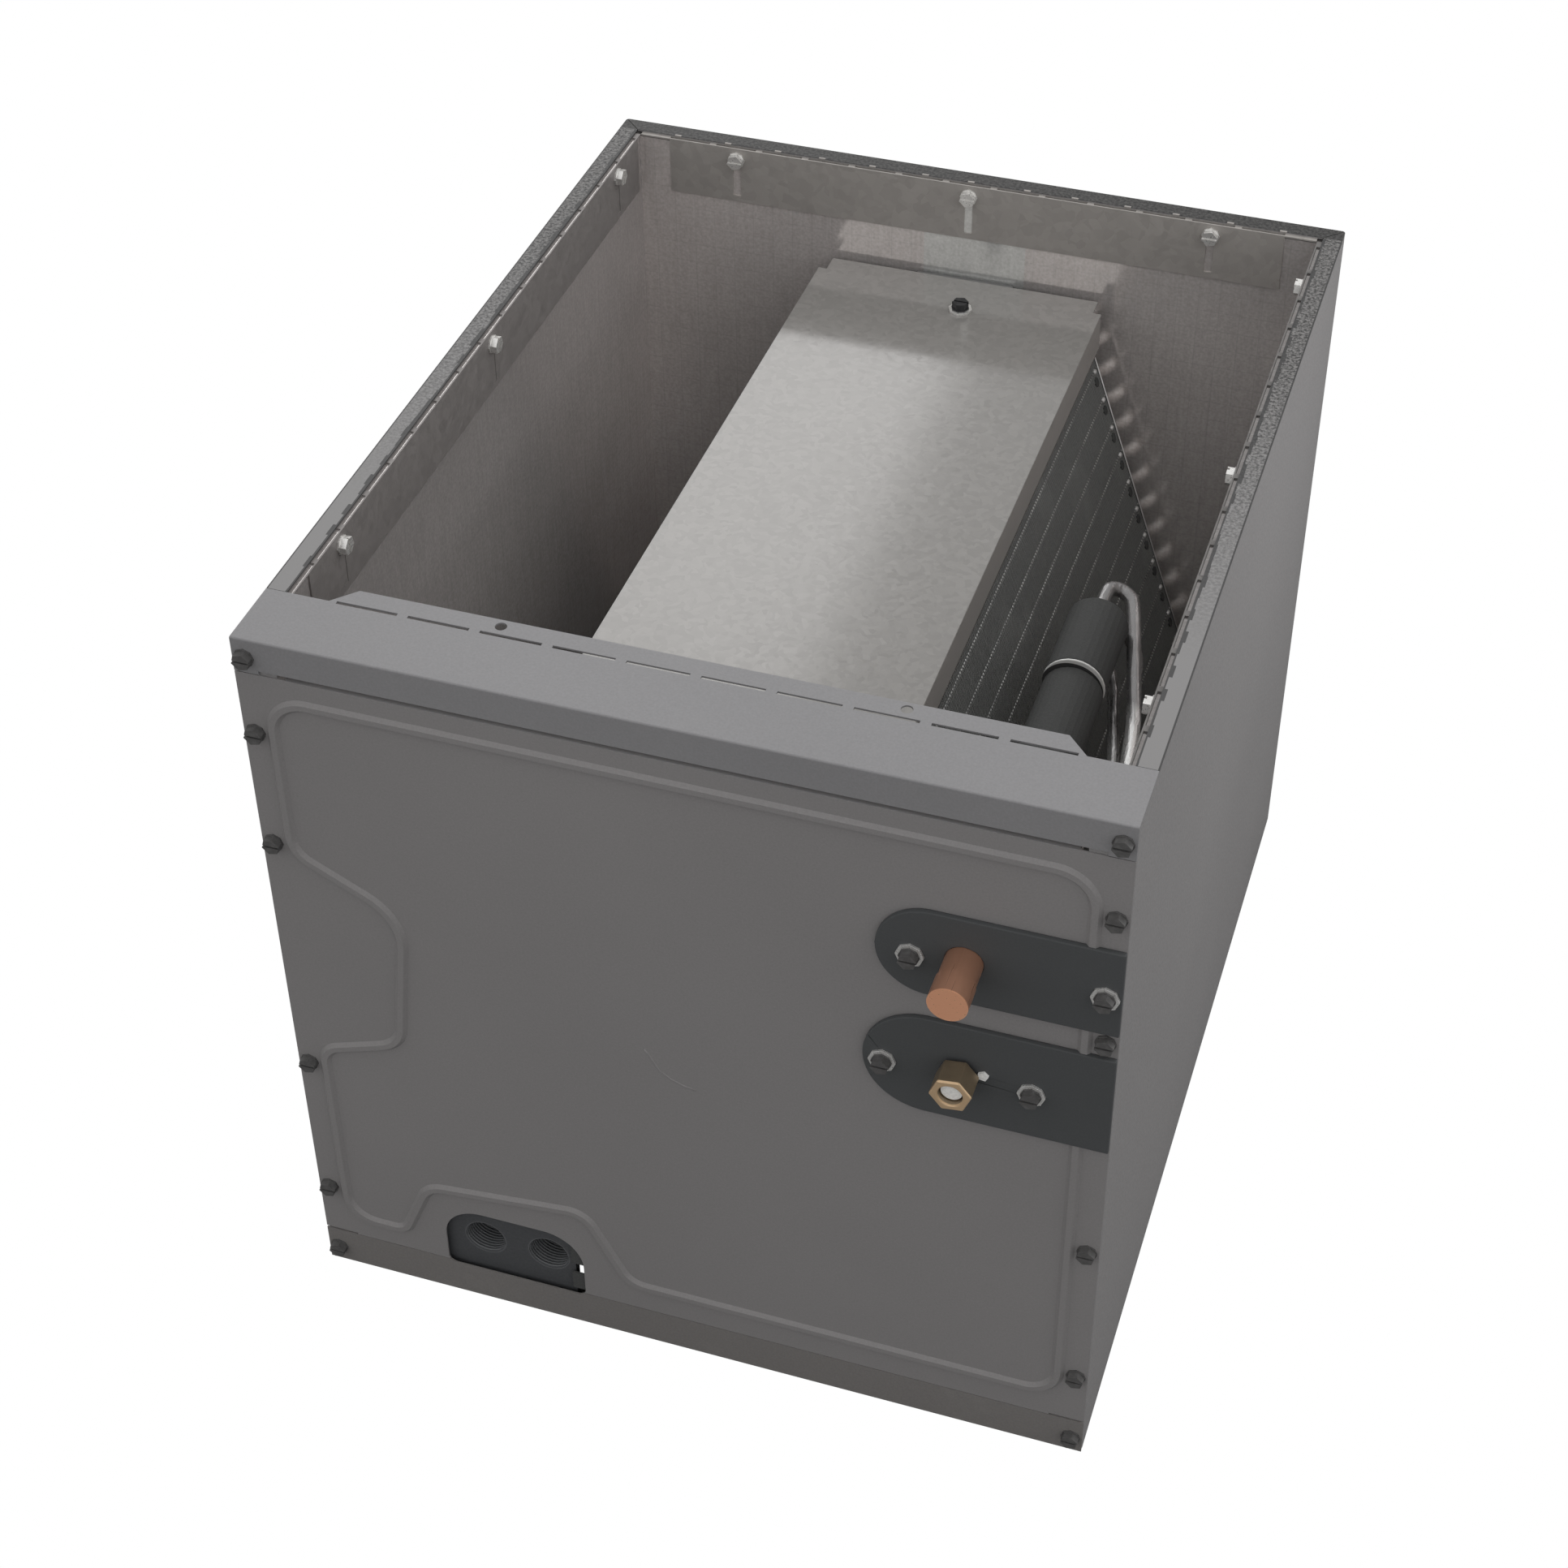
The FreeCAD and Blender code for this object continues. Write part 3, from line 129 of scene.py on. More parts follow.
def grainGroup():
    # Fine orange-peel grain with a slow drift in tone, for paint, foam and moulded plastic.
    group, given, out = newGroup("grain", [
        ("Vector", "NodeSocketVector", None), ("Grain Scale", "NodeSocketFloat", 900.0),
        ("Drift Scale", "NodeSocketFloat", 6.0), ("Speckle", "NodeSocketFloat", 0.1),
        ("Bump", "NodeSocketFloat", 0.1)],
        [("Tone", "NodeSocketFloat"), ("Normal", "NodeSocketVector")])
    fine = noise(group, given["Vector"], given["Grain Scale"], Detail=3.0, Roughness=0.6)
    slow = noise(group, given["Vector"], given["Drift Scale"], Detail=4.0)
    speck = maths(group, "MULTIPLY", maths(group, "SUBTRACT", fine, 0.5), given["Speckle"])
    drift = maths(group, "MULTIPLY", maths(group, "SUBTRACT", slow, 0.5), 0.16)
    tone = maths(group, "ADD", maths(group, "ADD", speck, drift), 1.0)
    bump = add(group, "ShaderNodeBump", {"Height": fine, "Strength": given["Bump"], "Distance": 0.0006})
    group.links.new(tone, out["Tone"])
    group.links.new(bump.outputs["Normal"], out["Normal"])
    return group


def spangleGroup():
    # Zinc crystals: each cell has its own tone and its own slight tilt.
    group, given, out = newGroup("spangle", [
        ("Vector", "NodeSocketVector", None), ("Cells", "NodeSocketFloat", 110.0),
        ("Contrast", "NodeSocketFloat", 0.25), ("Bump", "NodeSocketFloat", 0.05)],
        [("Tone", "NodeSocketFloat"), ("Rough", "NodeSocketFloat"), ("Normal", "NodeSocketVector")])
    warp = add(group, "ShaderNodeTexNoise", {"Vector": given["Vector"], "Scale": 60.0, "Detail": 2.0})
    bent = add(group, "ShaderNodeVectorMath", {0: warp.outputs["Color"], 1: (0.012, 0.012, 0.012)},
               operation="MULTIPLY").outputs[0]
    moved = add(group, "ShaderNodeVectorMath", {0: given["Vector"], 1: bent}, operation="ADD").outputs[0]
    cells = add(group, "ShaderNodeTexVoronoi", {"Vector": moved, "Scale": given["Cells"]})
    cellTone = add(group, "ShaderNodeSeparateColor", {"Color": cells.outputs["Color"]}).outputs
    feather = noise(group, given["Vector"], 420.0, Detail=4.0)
    mixed = maths(group, "ADD", maths(group, "MULTIPLY", cellTone[0], 0.7),
                  maths(group, "MULTIPLY", feather, 0.3))
    spread = maths(group, "MULTIPLY", maths(group, "SUBTRACT", mixed, 0.5), given["Contrast"])
    tone = maths(group, "ADD", spread, 1.0)
    bump = add(group, "ShaderNodeBump", {"Height": mixed, "Strength": given["Bump"], "Distance": 0.001})
    group.links.new(tone, out["Tone"])
    group.links.new(ramp(group, cellTone[1], 0.0, 1.0, -0.08, 0.1), out["Rough"])
    group.links.new(bump.outputs["Normal"], out["Normal"])
    return group


def smudgeGroup():
    # Sparse rubbed marks and dust, strongest where two noises meet.
    group, given, out = newGroup("smudge", [
        ("Vector", "NodeSocketVector", None), ("Scale", "NodeSocketFloat", 9.0),
        ("Amount", "NodeSocketFloat", 0.5)], [("Mask", "NodeSocketFloat")])
    wide = noise(group, given["Vector"], given["Scale"], Detail=5.0, Distortion=0.6)
    tight = noise(group, given["Vector"], 140.0, Detail=3.0)
    patch = ramp(group, wide, 0.52, 0.78)
    broken = ramp(group, tight, 0.4, 0.65)
    mask = maths(group, "MULTIPLY", maths(group, "MULTIPLY", patch, broken), given["Amount"], True)
    group.links.new(mask, out["Mask"])
    return group


def streakGroup():
    # Long fine lines along one direction, as left by drawing or rolling metal.
    group, given, out = newGroup("streak", [
        ("Vector", "NodeSocketVector", None), ("Stretch", "NodeSocketVector", (1.0, 0.02, 1.0)),
        ("Scale", "NodeSocketFloat", 900.0), ("Bump", "NodeSocketFloat", 0.05)],
        [("Value", "NodeSocketFloat"), ("Normal", "NodeSocketVector")])
    long = add(group, "ShaderNodeVectorMath", {0: given["Vector"], 1: given["Stretch"]},
               operation="MULTIPLY").outputs[0]
    lines = noise(group, long, given["Scale"], Detail=3.0)
    bump = add(group, "ShaderNodeBump", {"Height": lines, "Strength": given["Bump"], "Distance": 0.0004})
    group.links.new(lines, out["Value"])
    group.links.new(bump.outputs["Normal"], out["Normal"])
    return group


grain = grainGroup()
spangle = spangleGroup()
smudge = smudgeGroup()
streak = streakGroup()


def toned(tree, color, tone):
    # The colour times a tone value.
    grey = add(tree, "ShaderNodeCombineColor", {0: tone, 1: tone, 2: tone}).outputs[0]
    return mixColor(tree, 1.0, color, grey, "MULTIPLY")


def closeMaterial(tree, inputs):
    shader = add(tree, "ShaderNodeBsdfPrincipled", inputs)
    add(tree, "ShaderNodeOutputMaterial", {"Surface": shader.outputs[0]})
    return shader


def rimColor(tree, place, color, rim):
    # Open rim: gritty and dark at the rear, smooth and lighter at the front, with painted shade along the
    # fold on each edge.
    axes = splitXYZ(tree, place)
    across = maths(tree, "ABSOLUTE", axes[0])
    smooth = ramp(tree, axes[1], rim["gritFrom"], rim["gritTo"], 1.0, 0.0)
    grit = noise(tree, place, rim["gritScale"], Detail=1.5, Roughness=0.7)
    gritTone = ramp(tree, grit, 0.36, 0.64, 0.2, 1.8)
    coarse = maths(tree, "MULTIPLY", maths(tree, "SUBTRACT", gritTone, 1.0),
                   maths(tree, "SUBTRACT", 1.0, smooth))
    evened = maths(tree, "ADD", coarse, 1.0)
    face = toned(tree, mixColor(tree, smooth, rim["rearColor"], rim["frontColor"]), evened)
    # Darker band over the rear of the rim
    behind = ramp(tree, axes[1], rim["rearBandFrom"], rim["rearBandFrom"] + 0.0003)
    face = mixColor(tree, behind, face, toned(tree, rim["rearBandColor"], gritTone))
    color = mixColor(tree, ramp(tree, axes[2], rim["height"], rim["height"] + 0.0002), color, face)
    # The painted shade at the inner fold wanders: a new offset for each short step along y
    step = maths(tree, "FLOOR", maths(tree, "MULTIPLY", axes[1], rim["stepsPerMetre"]))
    ragged = add(tree, "ShaderNodeTexWhiteNoise", {"W": step}, noise_dimensions="1D").outputs["Value"]
    wander = ramp(tree, ragged, 0.0, 1.0, rim["wanderLow"], rim["wanderHigh"])
    inner = maths(tree, "LESS_THAN", across, maths(tree, "ADD", rim["inner"], wander))
    seamShadeTop = rim["height"] - rim["seamShadeDrop"]
    outer = maths(tree, "MULTIPLY", maths(tree, "GREATER_THAN", across, rim["outer"]),
                  maths(tree, "GREATER_THAN", axes[2], seamShadeTop))
    ahead = maths(tree, "LESS_THAN", axes[1], rim["rearBandFrom"])
    # Painted shade in the gaps along both folds of the rim
    folds = maths(tree, "MULTIPLY", maths(tree, "MULTIPLY", maths(tree, "MAXIMUM", inner, outer), ahead),
                  ramp(tree, axes[2], seamShadeTop - 0.0001, seamShadeTop))
    return mixColor(tree, maths(tree, "MULTIPLY", folds, rim["seamShadeAmount"]), color, rim["seamShadeColor"])


def paintMaterial(name, opts):
    mat, tree = newTree(name)
    place = objectCoords(tree)
    texture = useGroup(tree, grain, {"Vector": place, "Grain Scale": opts["grain"], "Bump": opts["bump"],
                                     "Speckle": opts["speckle"], "Drift Scale": 5.0})
    marks = useGroup(tree, smudge, {"Vector": place, "Amount": opts["marks"]})["Mask"]
    color = toned(tree, opts["color"], texture["Tone"])
    color = mixColor(tree, marks, color, opts["markColor"])
    if "rim" in opts:
        color = rimColor(tree, place, color, opts["rim"])
    rough = ramp(tree, marks, 0.0, 1.0, opts["rough"], opts["rough"] + 0.15)
    closeMaterial(tree, {"Base Color": color, "Roughness": rough, "Normal": texture["Normal"],
                         "Specular IOR Level": opts["specular"]})
    return mat


def zincMaterial(name, opts):
    mat, tree = newTree(name)
    place = objectCoords(tree)
    crystals = useGroup(tree, spangle, {"Vector": place, "Cells": opts["cells"], "Contrast": opts["contrast"],
                                        "Bump": opts["bump"]})
    marks = useGroup(tree, smudge, {"Vector": place, "Amount": opts["marks"], "Scale": 12.0})["Mask"]
    color = toned(tree, opts["color"], crystals["Tone"])
    color = mixColor(tree, marks, color, opts["markColor"])
    if "paintedLightSideColor" in opts:
        # Upright sides below the top sheet: painted light on their faces, with painted shade towards their
        # foot
        axes = splitXYZ(tree, place)
        outside = ramp(tree, maths(tree, "ABSOLUTE", axes[0]), opts["side"] - 0.0003, opts["side"] - 0.0001)
        under = ramp(tree, axes[2], opts["sideTop"] - 0.0002, opts["sideTop"] - 0.0006)
        # Painted shade towards the foot of the sides
        edge = ramp(tree, axes[2], opts["sideFoot"] + 0.0012, opts["sideFoot"] + 0.0024, 0.45, 1.0)
        color = mixColor(tree, maths(tree, "MULTIPLY", outside, under), color,
                         toned(tree, opts["paintedLightSideColor"], edge))
    rough = maths(tree, "ADD", maths(tree, "MULTIPLY", crystals["Rough"], opts["spread"]), opts["rough"])
    closeMaterial(tree, {"Base Color": color, "Roughness": rough, "Metallic": opts["metal"],
                         "Normal": crystals["Normal"]})
    return mat


# Heights between which painted light brightens the foil towards its foot, against the shade deep in the case
paintedLightSpan = {"high": 0.43, "low": 0.24}


def foilMaterial(name, opts):
    # Foil face: upright rolling marks, soft wrinkles, a faint mesh of fine threads and painted highlights
    # along the crease ridges.
    mat, tree = newTree(name)
    place = objectCoords(tree)
    creases = noise(tree, place, opts["creases"], Detail=5.0, Distortion=0.5)
    folds = ramp(tree, creases, 0.38, 0.62)
    ridge = maths(tree, "ABSOLUTE", maths(tree, "SUBTRACT", creases, 0.5))
    paintedGlints = ramp(tree, ridge, 0.012, 0.0, 0.0, opts["paintedGlints"])
    upright = useGroup(tree, streak, {"Vector": place, "Stretch": (1.0, 1.0, 0.07), "Scale": 420.0,
                                      "Bump": 0.0})["Value"]
    pebble = noise(tree, place, 600.0, Detail=2.0)
    axes = splitXYZ(tree, place)
    threads = None
    for axis in (axes[0], axes[1], axes[2]):
        wave = maths(tree, "SINE", maths(tree, "MULTIPLY", axis, 2 * math.pi / opts["thread"]))
        line = ramp(tree, wave, 0.985, 1.0)
        threads = line if threads is None else maths(tree, "MAXIMUM", threads, line)
    height = maths(tree, "ADD", maths(tree, "MULTIPLY", folds, 0.6), maths(tree, "MULTIPLY", pebble, 0.2))
    height = maths(tree, "ADD", height, maths(tree, "MULTIPLY", threads, 0.05))
    bump = add(tree, "ShaderNodeBump", {"Height": height, "Strength": opts["bump"], "Distance": 0.002})
    drift = noise(tree, place, 4.5, Detail=4.0)
    tone = ramp(tree, drift, 0.3, 0.7, 0.86, 1.14)
    # The height factor is painted light, brightening the foil towards its foot
    factors = [ramp(tree, upright, 0.3, 0.7, 0.95, 1.05), ramp(tree, pebble, 0.3, 0.7, 0.9, 1.1),
               ramp(tree, axes[2], paintedLightSpan["high"], paintedLightSpan["low"], 1.0, opts["paintedLightLow"])]
    if "paintedShadeTop" in opts:
        # Painted shade on the board's top edge, seen through the flange's slots
        factors.append(ramp(tree, axes[2], opts["paintedShadeTop"] - 0.0012, opts["paintedShadeTop"] - 0.0008, 1.0, 0.3))
    for factor in factors:
        tone = maths(tree, "MULTIPLY", tone, factor)
    color = toned(tree, opts["color"], tone)
    color = mixColor(tree, maths(tree, "MULTIPLY", threads, opts["mesh"]), color, (0.5, 0.5, 0.5, 1))
    # Painted highlights along the crease ridges
    paintedShine = maths(tree, "MULTIPLY", paintedGlints, ramp(tree, drift, 0.5, 0.6))
    color = mixColor(tree, paintedShine, color, (0.75, 0.75, 0.75, 1))
    closeMaterial(tree, {"Base Color": color, "Metallic": opts["metal"], "Roughness": opts["rough"],
                         "Normal": bump.outputs["Normal"]})
    return mat


def finMaterial(name, opts):
    # Dark coated fins with patches of bare metal.
    mat, tree = newTree(name)
    place = objectCoords(tree)
    texture = useGroup(tree, grain, {"Vector": place, "Grain Scale": 500.0, "Speckle": 0.5, "Bump": 0.15})
    patches = noise(tree, place, 26.0, Detail=4.0)
    bare = ramp(tree, patches, 0.58, 0.75, 0.0, opts["bare"])
    color = toned(tree, opts["color"], texture["Tone"])
    color = mixColor(tree, bare, color, opts["bareColor"])
    closeMaterial(tree, {"Base Color": color, "Metallic": opts["metal"], "Roughness": opts["rough"],
                         "Normal": texture["Normal"]})
    return mat


def drawnMaterial(name, opts):
    # Drawn or machined metal with faint lines and slight tarnish.
    mat, tree = newTree(name)
    place = objectCoords(tree)
    lines = useGroup(tree, streak, {"Vector": place, "Stretch": opts["stretch"], "Bump": opts["bump"]})
    tarnish = noise(tree, place, opts["tarnishScale"], Detail=4.0)
    mask = ramp(tree, tarnish, 0.45, 0.7, 0.0, opts["tarnish"])
    color = mixColor(tree, mask, opts["color"], opts["tarnishColor"])
    axes = splitXYZ(tree, place)
    if "end" in opts:
        # End face in its own colour: a turned face on the brass nut, painted light on the suction stub cap
        behind = ramp(tree, axes[1], opts["end"], opts["end"] + 0.0004)
        color = mixColor(tree, behind, opts["endColor"], color)
    if "crescent" in opts:
        # Painted shade inside an off-centre circle, which leaves a painted highlight crescent
        x, z, radius = opts["crescent"]
        lit = ramp(tree, reachFrom(tree, axes, x, z), radius, radius + 0.0003)
        color = mixColor(tree, lit, opts["shadeColor"], color)
    # Painted highlight: near-white towards the front ends of the tubes
    if "frontColor" in opts:
        near = ramp(tree, axes[1], opts["highlightFrom"], opts["highlightTo"])
        color = mixColor(tree, near, color, opts["frontColor"])
    rough = ramp(tree, lines["Value"], 0.3, 0.7, opts["rough"] - 0.05, opts["rough"] + 0.06)
    closeMaterial(tree, {"Base Color": color, "Metallic": opts["metal"], "Roughness": rough,
                         "Normal": lines["Normal"]})
    return mat


def paintedDashMaterial(name, opts):
    # Collar edges in line between the fins: a painted highlight where a collar shows, painted shade in the
    # gap before the next.
    mat, tree = newTree(name)
    place = objectCoords(tree)
    along = splitXYZ(tree, place)[1]
    wave = maths(tree, "SINE", maths(tree, "MULTIPLY", along, 2 * math.pi / opts["pitch"]))
    uneven = noise(tree, place, 60.0, Detail=3.0)
    lit = maths(tree, "MULTIPLY", ramp(tree, wave, -0.2, 0.5), ramp(tree, uneven, 0.35, 0.65, 0.25, 1.0))
    color = mixColor(tree, lit, opts["dark"], opts["light"])
    closeMaterial(tree, {"Base Color": color, "Metallic": opts["metal"], "Roughness": opts["rough"]})
    return mat


def foamMaterial(name, opts):
    # Foam and moulded plastic. Where ports are given, painted light makes their bores lighter than the face,
    # against the shade inside them.
    mat, tree = newTree(name)
    place = objectCoords(tree)
    texture = useGroup(tree, grain, {"Vector": place, "Grain Scale": opts["grain"], "Speckle": 0.6,
                                     "Bump": opts["bump"], "Drift Scale": 20.0})
    color = toned(tree, opts["color"], texture["Tone"])
    if "ports" in opts:
        axes = splitXYZ(tree, place)
        ahead = ramp(tree, axes[1], opts["portEnd"], opts["portEnd"] - 0.001)
        for x, z in opts["ports"]:
            bore = ramp(tree, reachFrom(tree, axes, x, z), opts["portRadius"] + 0.0006, opts["portRadius"])
            color = mixColor(tree, maths(tree, "MULTIPLY", bore, ahead), color, opts["paintedLightPortColor"])
    closeMaterial(tree, {"Base Color": color, "Roughness": opts["rough"], "Normal": texture["Normal"],
                         "Specular IOR Level": opts["specular"]})
    return mat


# Materials, one dictionary of settings each
casePaint = paintMaterial("casePaint", {
    "color": (0.212, 0.204, 0.203, 1), "grain": 900.0, "speckle": 0.3, "bump": 0.08, "marks": 0.08,
    "markColor": (0.27, 0.262, 0.255, 1), "rough": 0.55, "specular": 0.35})
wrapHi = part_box("case_wrap")[1]
wrapPaint = paintMaterial("wrapPaint", {
    "rim": {"height": wrapHi.z - 0.0004, "gritFrom": -0.13, "gritTo": 0.13, "gritScale": 560.0,
            "rearColor": (0.1, 0.097, 0.095, 1), "frontColor": (0.215, 0.211, 0.21, 1),
            "rearBandFrom": wrapHi.y - 0.0112, "rearBandColor": (0.03, 0.029, 0.028, 1),
            "inner": wrapHi.x - 0.011, "outer": wrapHi.x - 0.0007, "stepsPerMetre": 110.0,
            "wanderLow": 0.0008, "wanderHigh": 0.0028, "seamShadeDrop": 0.0008, "seamShadeAmount": 0.85,
            "seamShadeColor": (0.022, 0.022, 0.022, 1)},
    "color": (0.215, 0.208, 0.208, 1), "grain": 620.0, "speckle": 0.75, "bump": 0.12, "marks": 0.1,
    "markColor": (0.28, 0.272, 0.27, 1), "rough": 0.55, "specular": 0.35})
railPaint = paintMaterial("railPaint", {
    "color": (0.212, 0.209, 0.214, 1), "grain": 800.0, "speckle": 0.3, "bump": 0.08, "marks": 0.16,
    "markColor": (0.29, 0.288, 0.285, 1), "rough": 0.5, "specular": 0.35})
basePaint = paintMaterial("basePaint", {
    "color": (0.172, 0.163, 0.157, 1), "grain": 800.0, "speckle": 0.4, "bump": 0.1, "marks": 0.25,
    "markColor": (0.28, 0.27, 0.25, 1), "rough": 0.6, "specular": 0.3})
platePaint = paintMaterial("platePaint", {
    "color": (0.066, 0.069, 0.071, 1), "grain": 1100.0, "speckle": 0.25, "bump": 0.08, "marks": 0.06,
    "markColor": (0.12, 0.12, 0.12, 1), "rough": 0.6, "specular": 0.2})
capLo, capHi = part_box("coil_cap_plate")
capZinc = zincMaterial("capZinc", {
    "color": (0.232, 0.224, 0.213, 1), "cells": 300.0, "contrast": 0.2, "bump": 0.012, "marks": 0.12,
    "markColor": (0.27, 0.262, 0.248, 1), "rough": 0.12, "metal": 0.1, "spread": 0.35,
    "side": capHi.x, "sideTop": capHi.z, "sideFoot": capLo.z, "paintedLightSideColor": (0.4, 0.38, 0.36, 1)})
stripZinc = zincMaterial("stripZinc", {
    "color": (0.31, 0.292, 0.275, 1), "cells": 190.0, "contrast": 0.2, "bump": 0.03, "marks": 0.2,
    "markColor": (0.25, 0.235, 0.22, 1), "rough": 0.55, "metal": 0.25, "spread": 1.0})
# Darker copies of the strip zinc: painted shade on the left and right duct flanges
shadedLeftZinc = zincMaterial("shadedLeftZinc", {
    "color": (0.2, 0.186, 0.18, 1), "cells": 190.0, "contrast": 0.2, "bump": 0.03, "marks": 0.2,
    "markColor": (0.17, 0.158, 0.15, 1), "rough": 0.55, "metal": 0.25, "spread": 1.0})
shadedRightZinc = zincMaterial("shadedRightZinc", {
    "color": (0.14, 0.133, 0.128, 1), "cells": 190.0, "contrast": 0.4, "bump": 0.03, "marks": 0.3,
    "markColor": (0.07, 0.066, 0.064, 1), "rough": 0.6, "metal": 0.2, "spread": 1.0})
darkZinc = zincMaterial("darkZinc", {
    "color": (0.16, 0.16, 0.16, 1), "cells": 160.0, "contrast": 0.25, "bump": 0.04, "marks": 0.2,
    "markColor": (0.1, 0.1, 0.1, 1), "rough": 0.45, "metal": 0.7, "spread": 1.0})
linerFoil = foilMaterial("linerFoil", {
    "color": (0.52, 0.487, 0.475, 1), "creases": 9.0, "thread": 0.0127, "bump": 0.05, "rough": 0.17,
    "metal": 0.6, "paintedGlints": 0.14, "mesh": 0.25, "paintedLightLow": 1.8})
# A lighter copy of the liner foil: painted light on the right and rear liners
paintedLightFoil = foilMaterial("paintedLightFoil", {
    "color": (0.8, 0.75, 0.73, 1), "creases": 9.0, "thread": 0.0127, "bump": 0.06, "rough": 0.15,
    "metal": 0.65, "paintedGlints": 0.2, "mesh": 0.25, "paintedLightLow": 1.2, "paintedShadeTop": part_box("liner_right")[1].z})
# Bright foil for painted pools of light on the rear liner
paintedLightPatchFoil = foilMaterial("paintedLightPatchFoil", {
    "color": (0.82, 0.82, 0.8, 1), "creases": 30.0, "thread": 0.5, "bump": 0.03, "rough": 0.2, "metal": 0.65,
    "paintedGlints": 0.3, "mesh": 0.0, "paintedLightLow": 1.0})
finCoat = finMaterial("finCoat", {
    "color": (0.255, 0.258, 0.252, 1), "bare": 0.3, "bareColor": (0.4, 0.4, 0.39, 1), "metal": 0.1,
    "rough": 0.6})
# Tubes with a painted highlight towards their front ends
tubeMetal = drawnMaterial("tubeMetal", {
    "color": (0.24, 0.235, 0.235, 1), "tarnishColor": (0.16, 0.15, 0.15, 1), "tarnish": 0.6,
    "tarnishScale": 40.0, "stretch": (1.0, 0.03, 1.0), "bump": 0.02, "rough": 0.3, "metal": 0.75,
    "highlightFrom": -0.03, "highlightTo": -0.055, "frontColor": (1.0, 1.0, 0.99, 1)})
bendMetal = drawnMaterial("bendMetal", {
    "color": (0.62, 0.61, 0.6, 1), "tarnishColor": (0.4, 0.39, 0.38, 1), "tarnish": 0.4,
    "tarnishScale": 90.0, "stretch": (1.0, 1.0, 1.0), "bump": 0.02, "rough": 0.4, "metal": 0.25})
ringLo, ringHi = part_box("suction_sleeve_ring")
ringMetal = drawnMaterial("ringMetal", {
    "crescent": ((ringLo.x + ringHi.x) / 2 - 0.0008, (ringLo.z + ringHi.z) / 2 - 0.0024,
                 (ringHi.x - ringLo.x) / 2 - 0.0002), "shadeColor": (0.05, 0.05, 0.05, 1),
    "color": (0.72, 0.72, 0.7, 1), "tarnishColor": (0.6, 0.6, 0.58, 1), "tarnish": 0.3,
    "tarnishScale": 60.0, "stretch": (1.0, 1.0, 1.0), "bump": 0.02, "rough": 0.5, "metal": 0.2})
solder = drawnMaterial("solder", {
    "color": (0.62, 0.6, 0.57, 1), "tarnishColor": (0.3, 0.26, 0.22, 1), "tarnish": 0.7,
    "tarnishScale": 160.0, "stretch": (1.0, 1.0, 1.0), "bump": 0.08, "rough": 0.4, "metal": 0.8})
paintedCollarGlint = paintedDashMaterial("paintedCollarGlint", {
    "pitch": 0.0028, "dark": (0.1, 0.1, 0.1, 1), "light": (0.62, 0.62, 0.6, 1), "metal": 0.1, "rough": 0.5})
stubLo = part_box("suction_stub_cap")[0]
# The stub cap's end colour is painted light on its front face
copper = drawnMaterial("copper", {
    "end": stubLo.y + 0.0003, "endColor": (1.0, 0.5, 0.3, 1),
    "color": (0.55, 0.29, 0.19, 1), "tarnishColor": (0.42, 0.21, 0.14, 1), "tarnish": 0.35,
    "tarnishScale": 60.0, "stretch": (1.0, 0.03, 1.0), "bump": 0.0015, "rough": 0.32, "metal": 0.65})
brass = drawnMaterial("brass", {
    "end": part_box("flare_nut")[0].y + 0.0007, "endColor": (0.76, 0.54, 0.33, 1),
    "color": (0.33, 0.255, 0.17, 1), "tarnishColor": (0.2, 0.155, 0.11, 1), "tarnish": 0.45,
    "tarnishScale": 90.0, "stretch": (0.05, 1.0, 1.0), "bump": 0.02, "rough": 0.34, "metal": 0.7})
darkSteel = drawnMaterial("darkSteel", {
    "color": (0.075, 0.073, 0.072, 1), "tarnishColor": (0.13, 0.127, 0.125, 1), "tarnish": 0.5,
    "tarnishScale": 300.0, "stretch": (1.0, 1.0, 1.0), "bump": 0.05, "rough": 0.65, "metal": 0.1})
capSteel = drawnMaterial("capSteel", {
    "color": (0.03, 0.03, 0.032, 1), "tarnishColor": (0.08, 0.08, 0.08, 1), "tarnish": 0.4,
    "tarnishScale": 300.0, "stretch": (1.0, 1.0, 1.0), "bump": 0.05, "rough": 0.4, "metal": 0.4})
brightSteel = drawnMaterial("brightSteel", {
    "color": (0.8, 0.79, 0.77, 1), "tarnishColor": (0.45, 0.44, 0.42, 1), "tarnish": 0.35,
    "tarnishScale": 200.0, "stretch": (1.0, 1.0, 1.0), "bump": 0.04, "rough": 0.3, "metal": 0.7})
sleeveFoam = foamMaterial("sleeveFoam", {
    "color": (0.066, 0.067, 0.066, 1), "grain": 1100.0, "bump": 0.3, "rough": 0.85, "specular": 0.15})
panPlastic = foamMaterial("panPlastic", {
    "color": (0.06, 0.062, 0.066, 1), "grain": 600.0, "bump": 0.06, "rough": 0.5, "specular": 0.4,
    "ports": ((-0.124, 0.047), (-0.086, 0.047)), "portRadius": 0.0122, "portEnd": -0.2,
    "paintedLightPortColor": (0.105, 0.108, 0.113, 1)})
nylon = foamMaterial("nylon", {
    "color": (0.82, 0.82, 0.8, 1), "grain": 800.0, "bump": 0.05, "rough": 0.5, "specular": 0.5})
print("materials made")

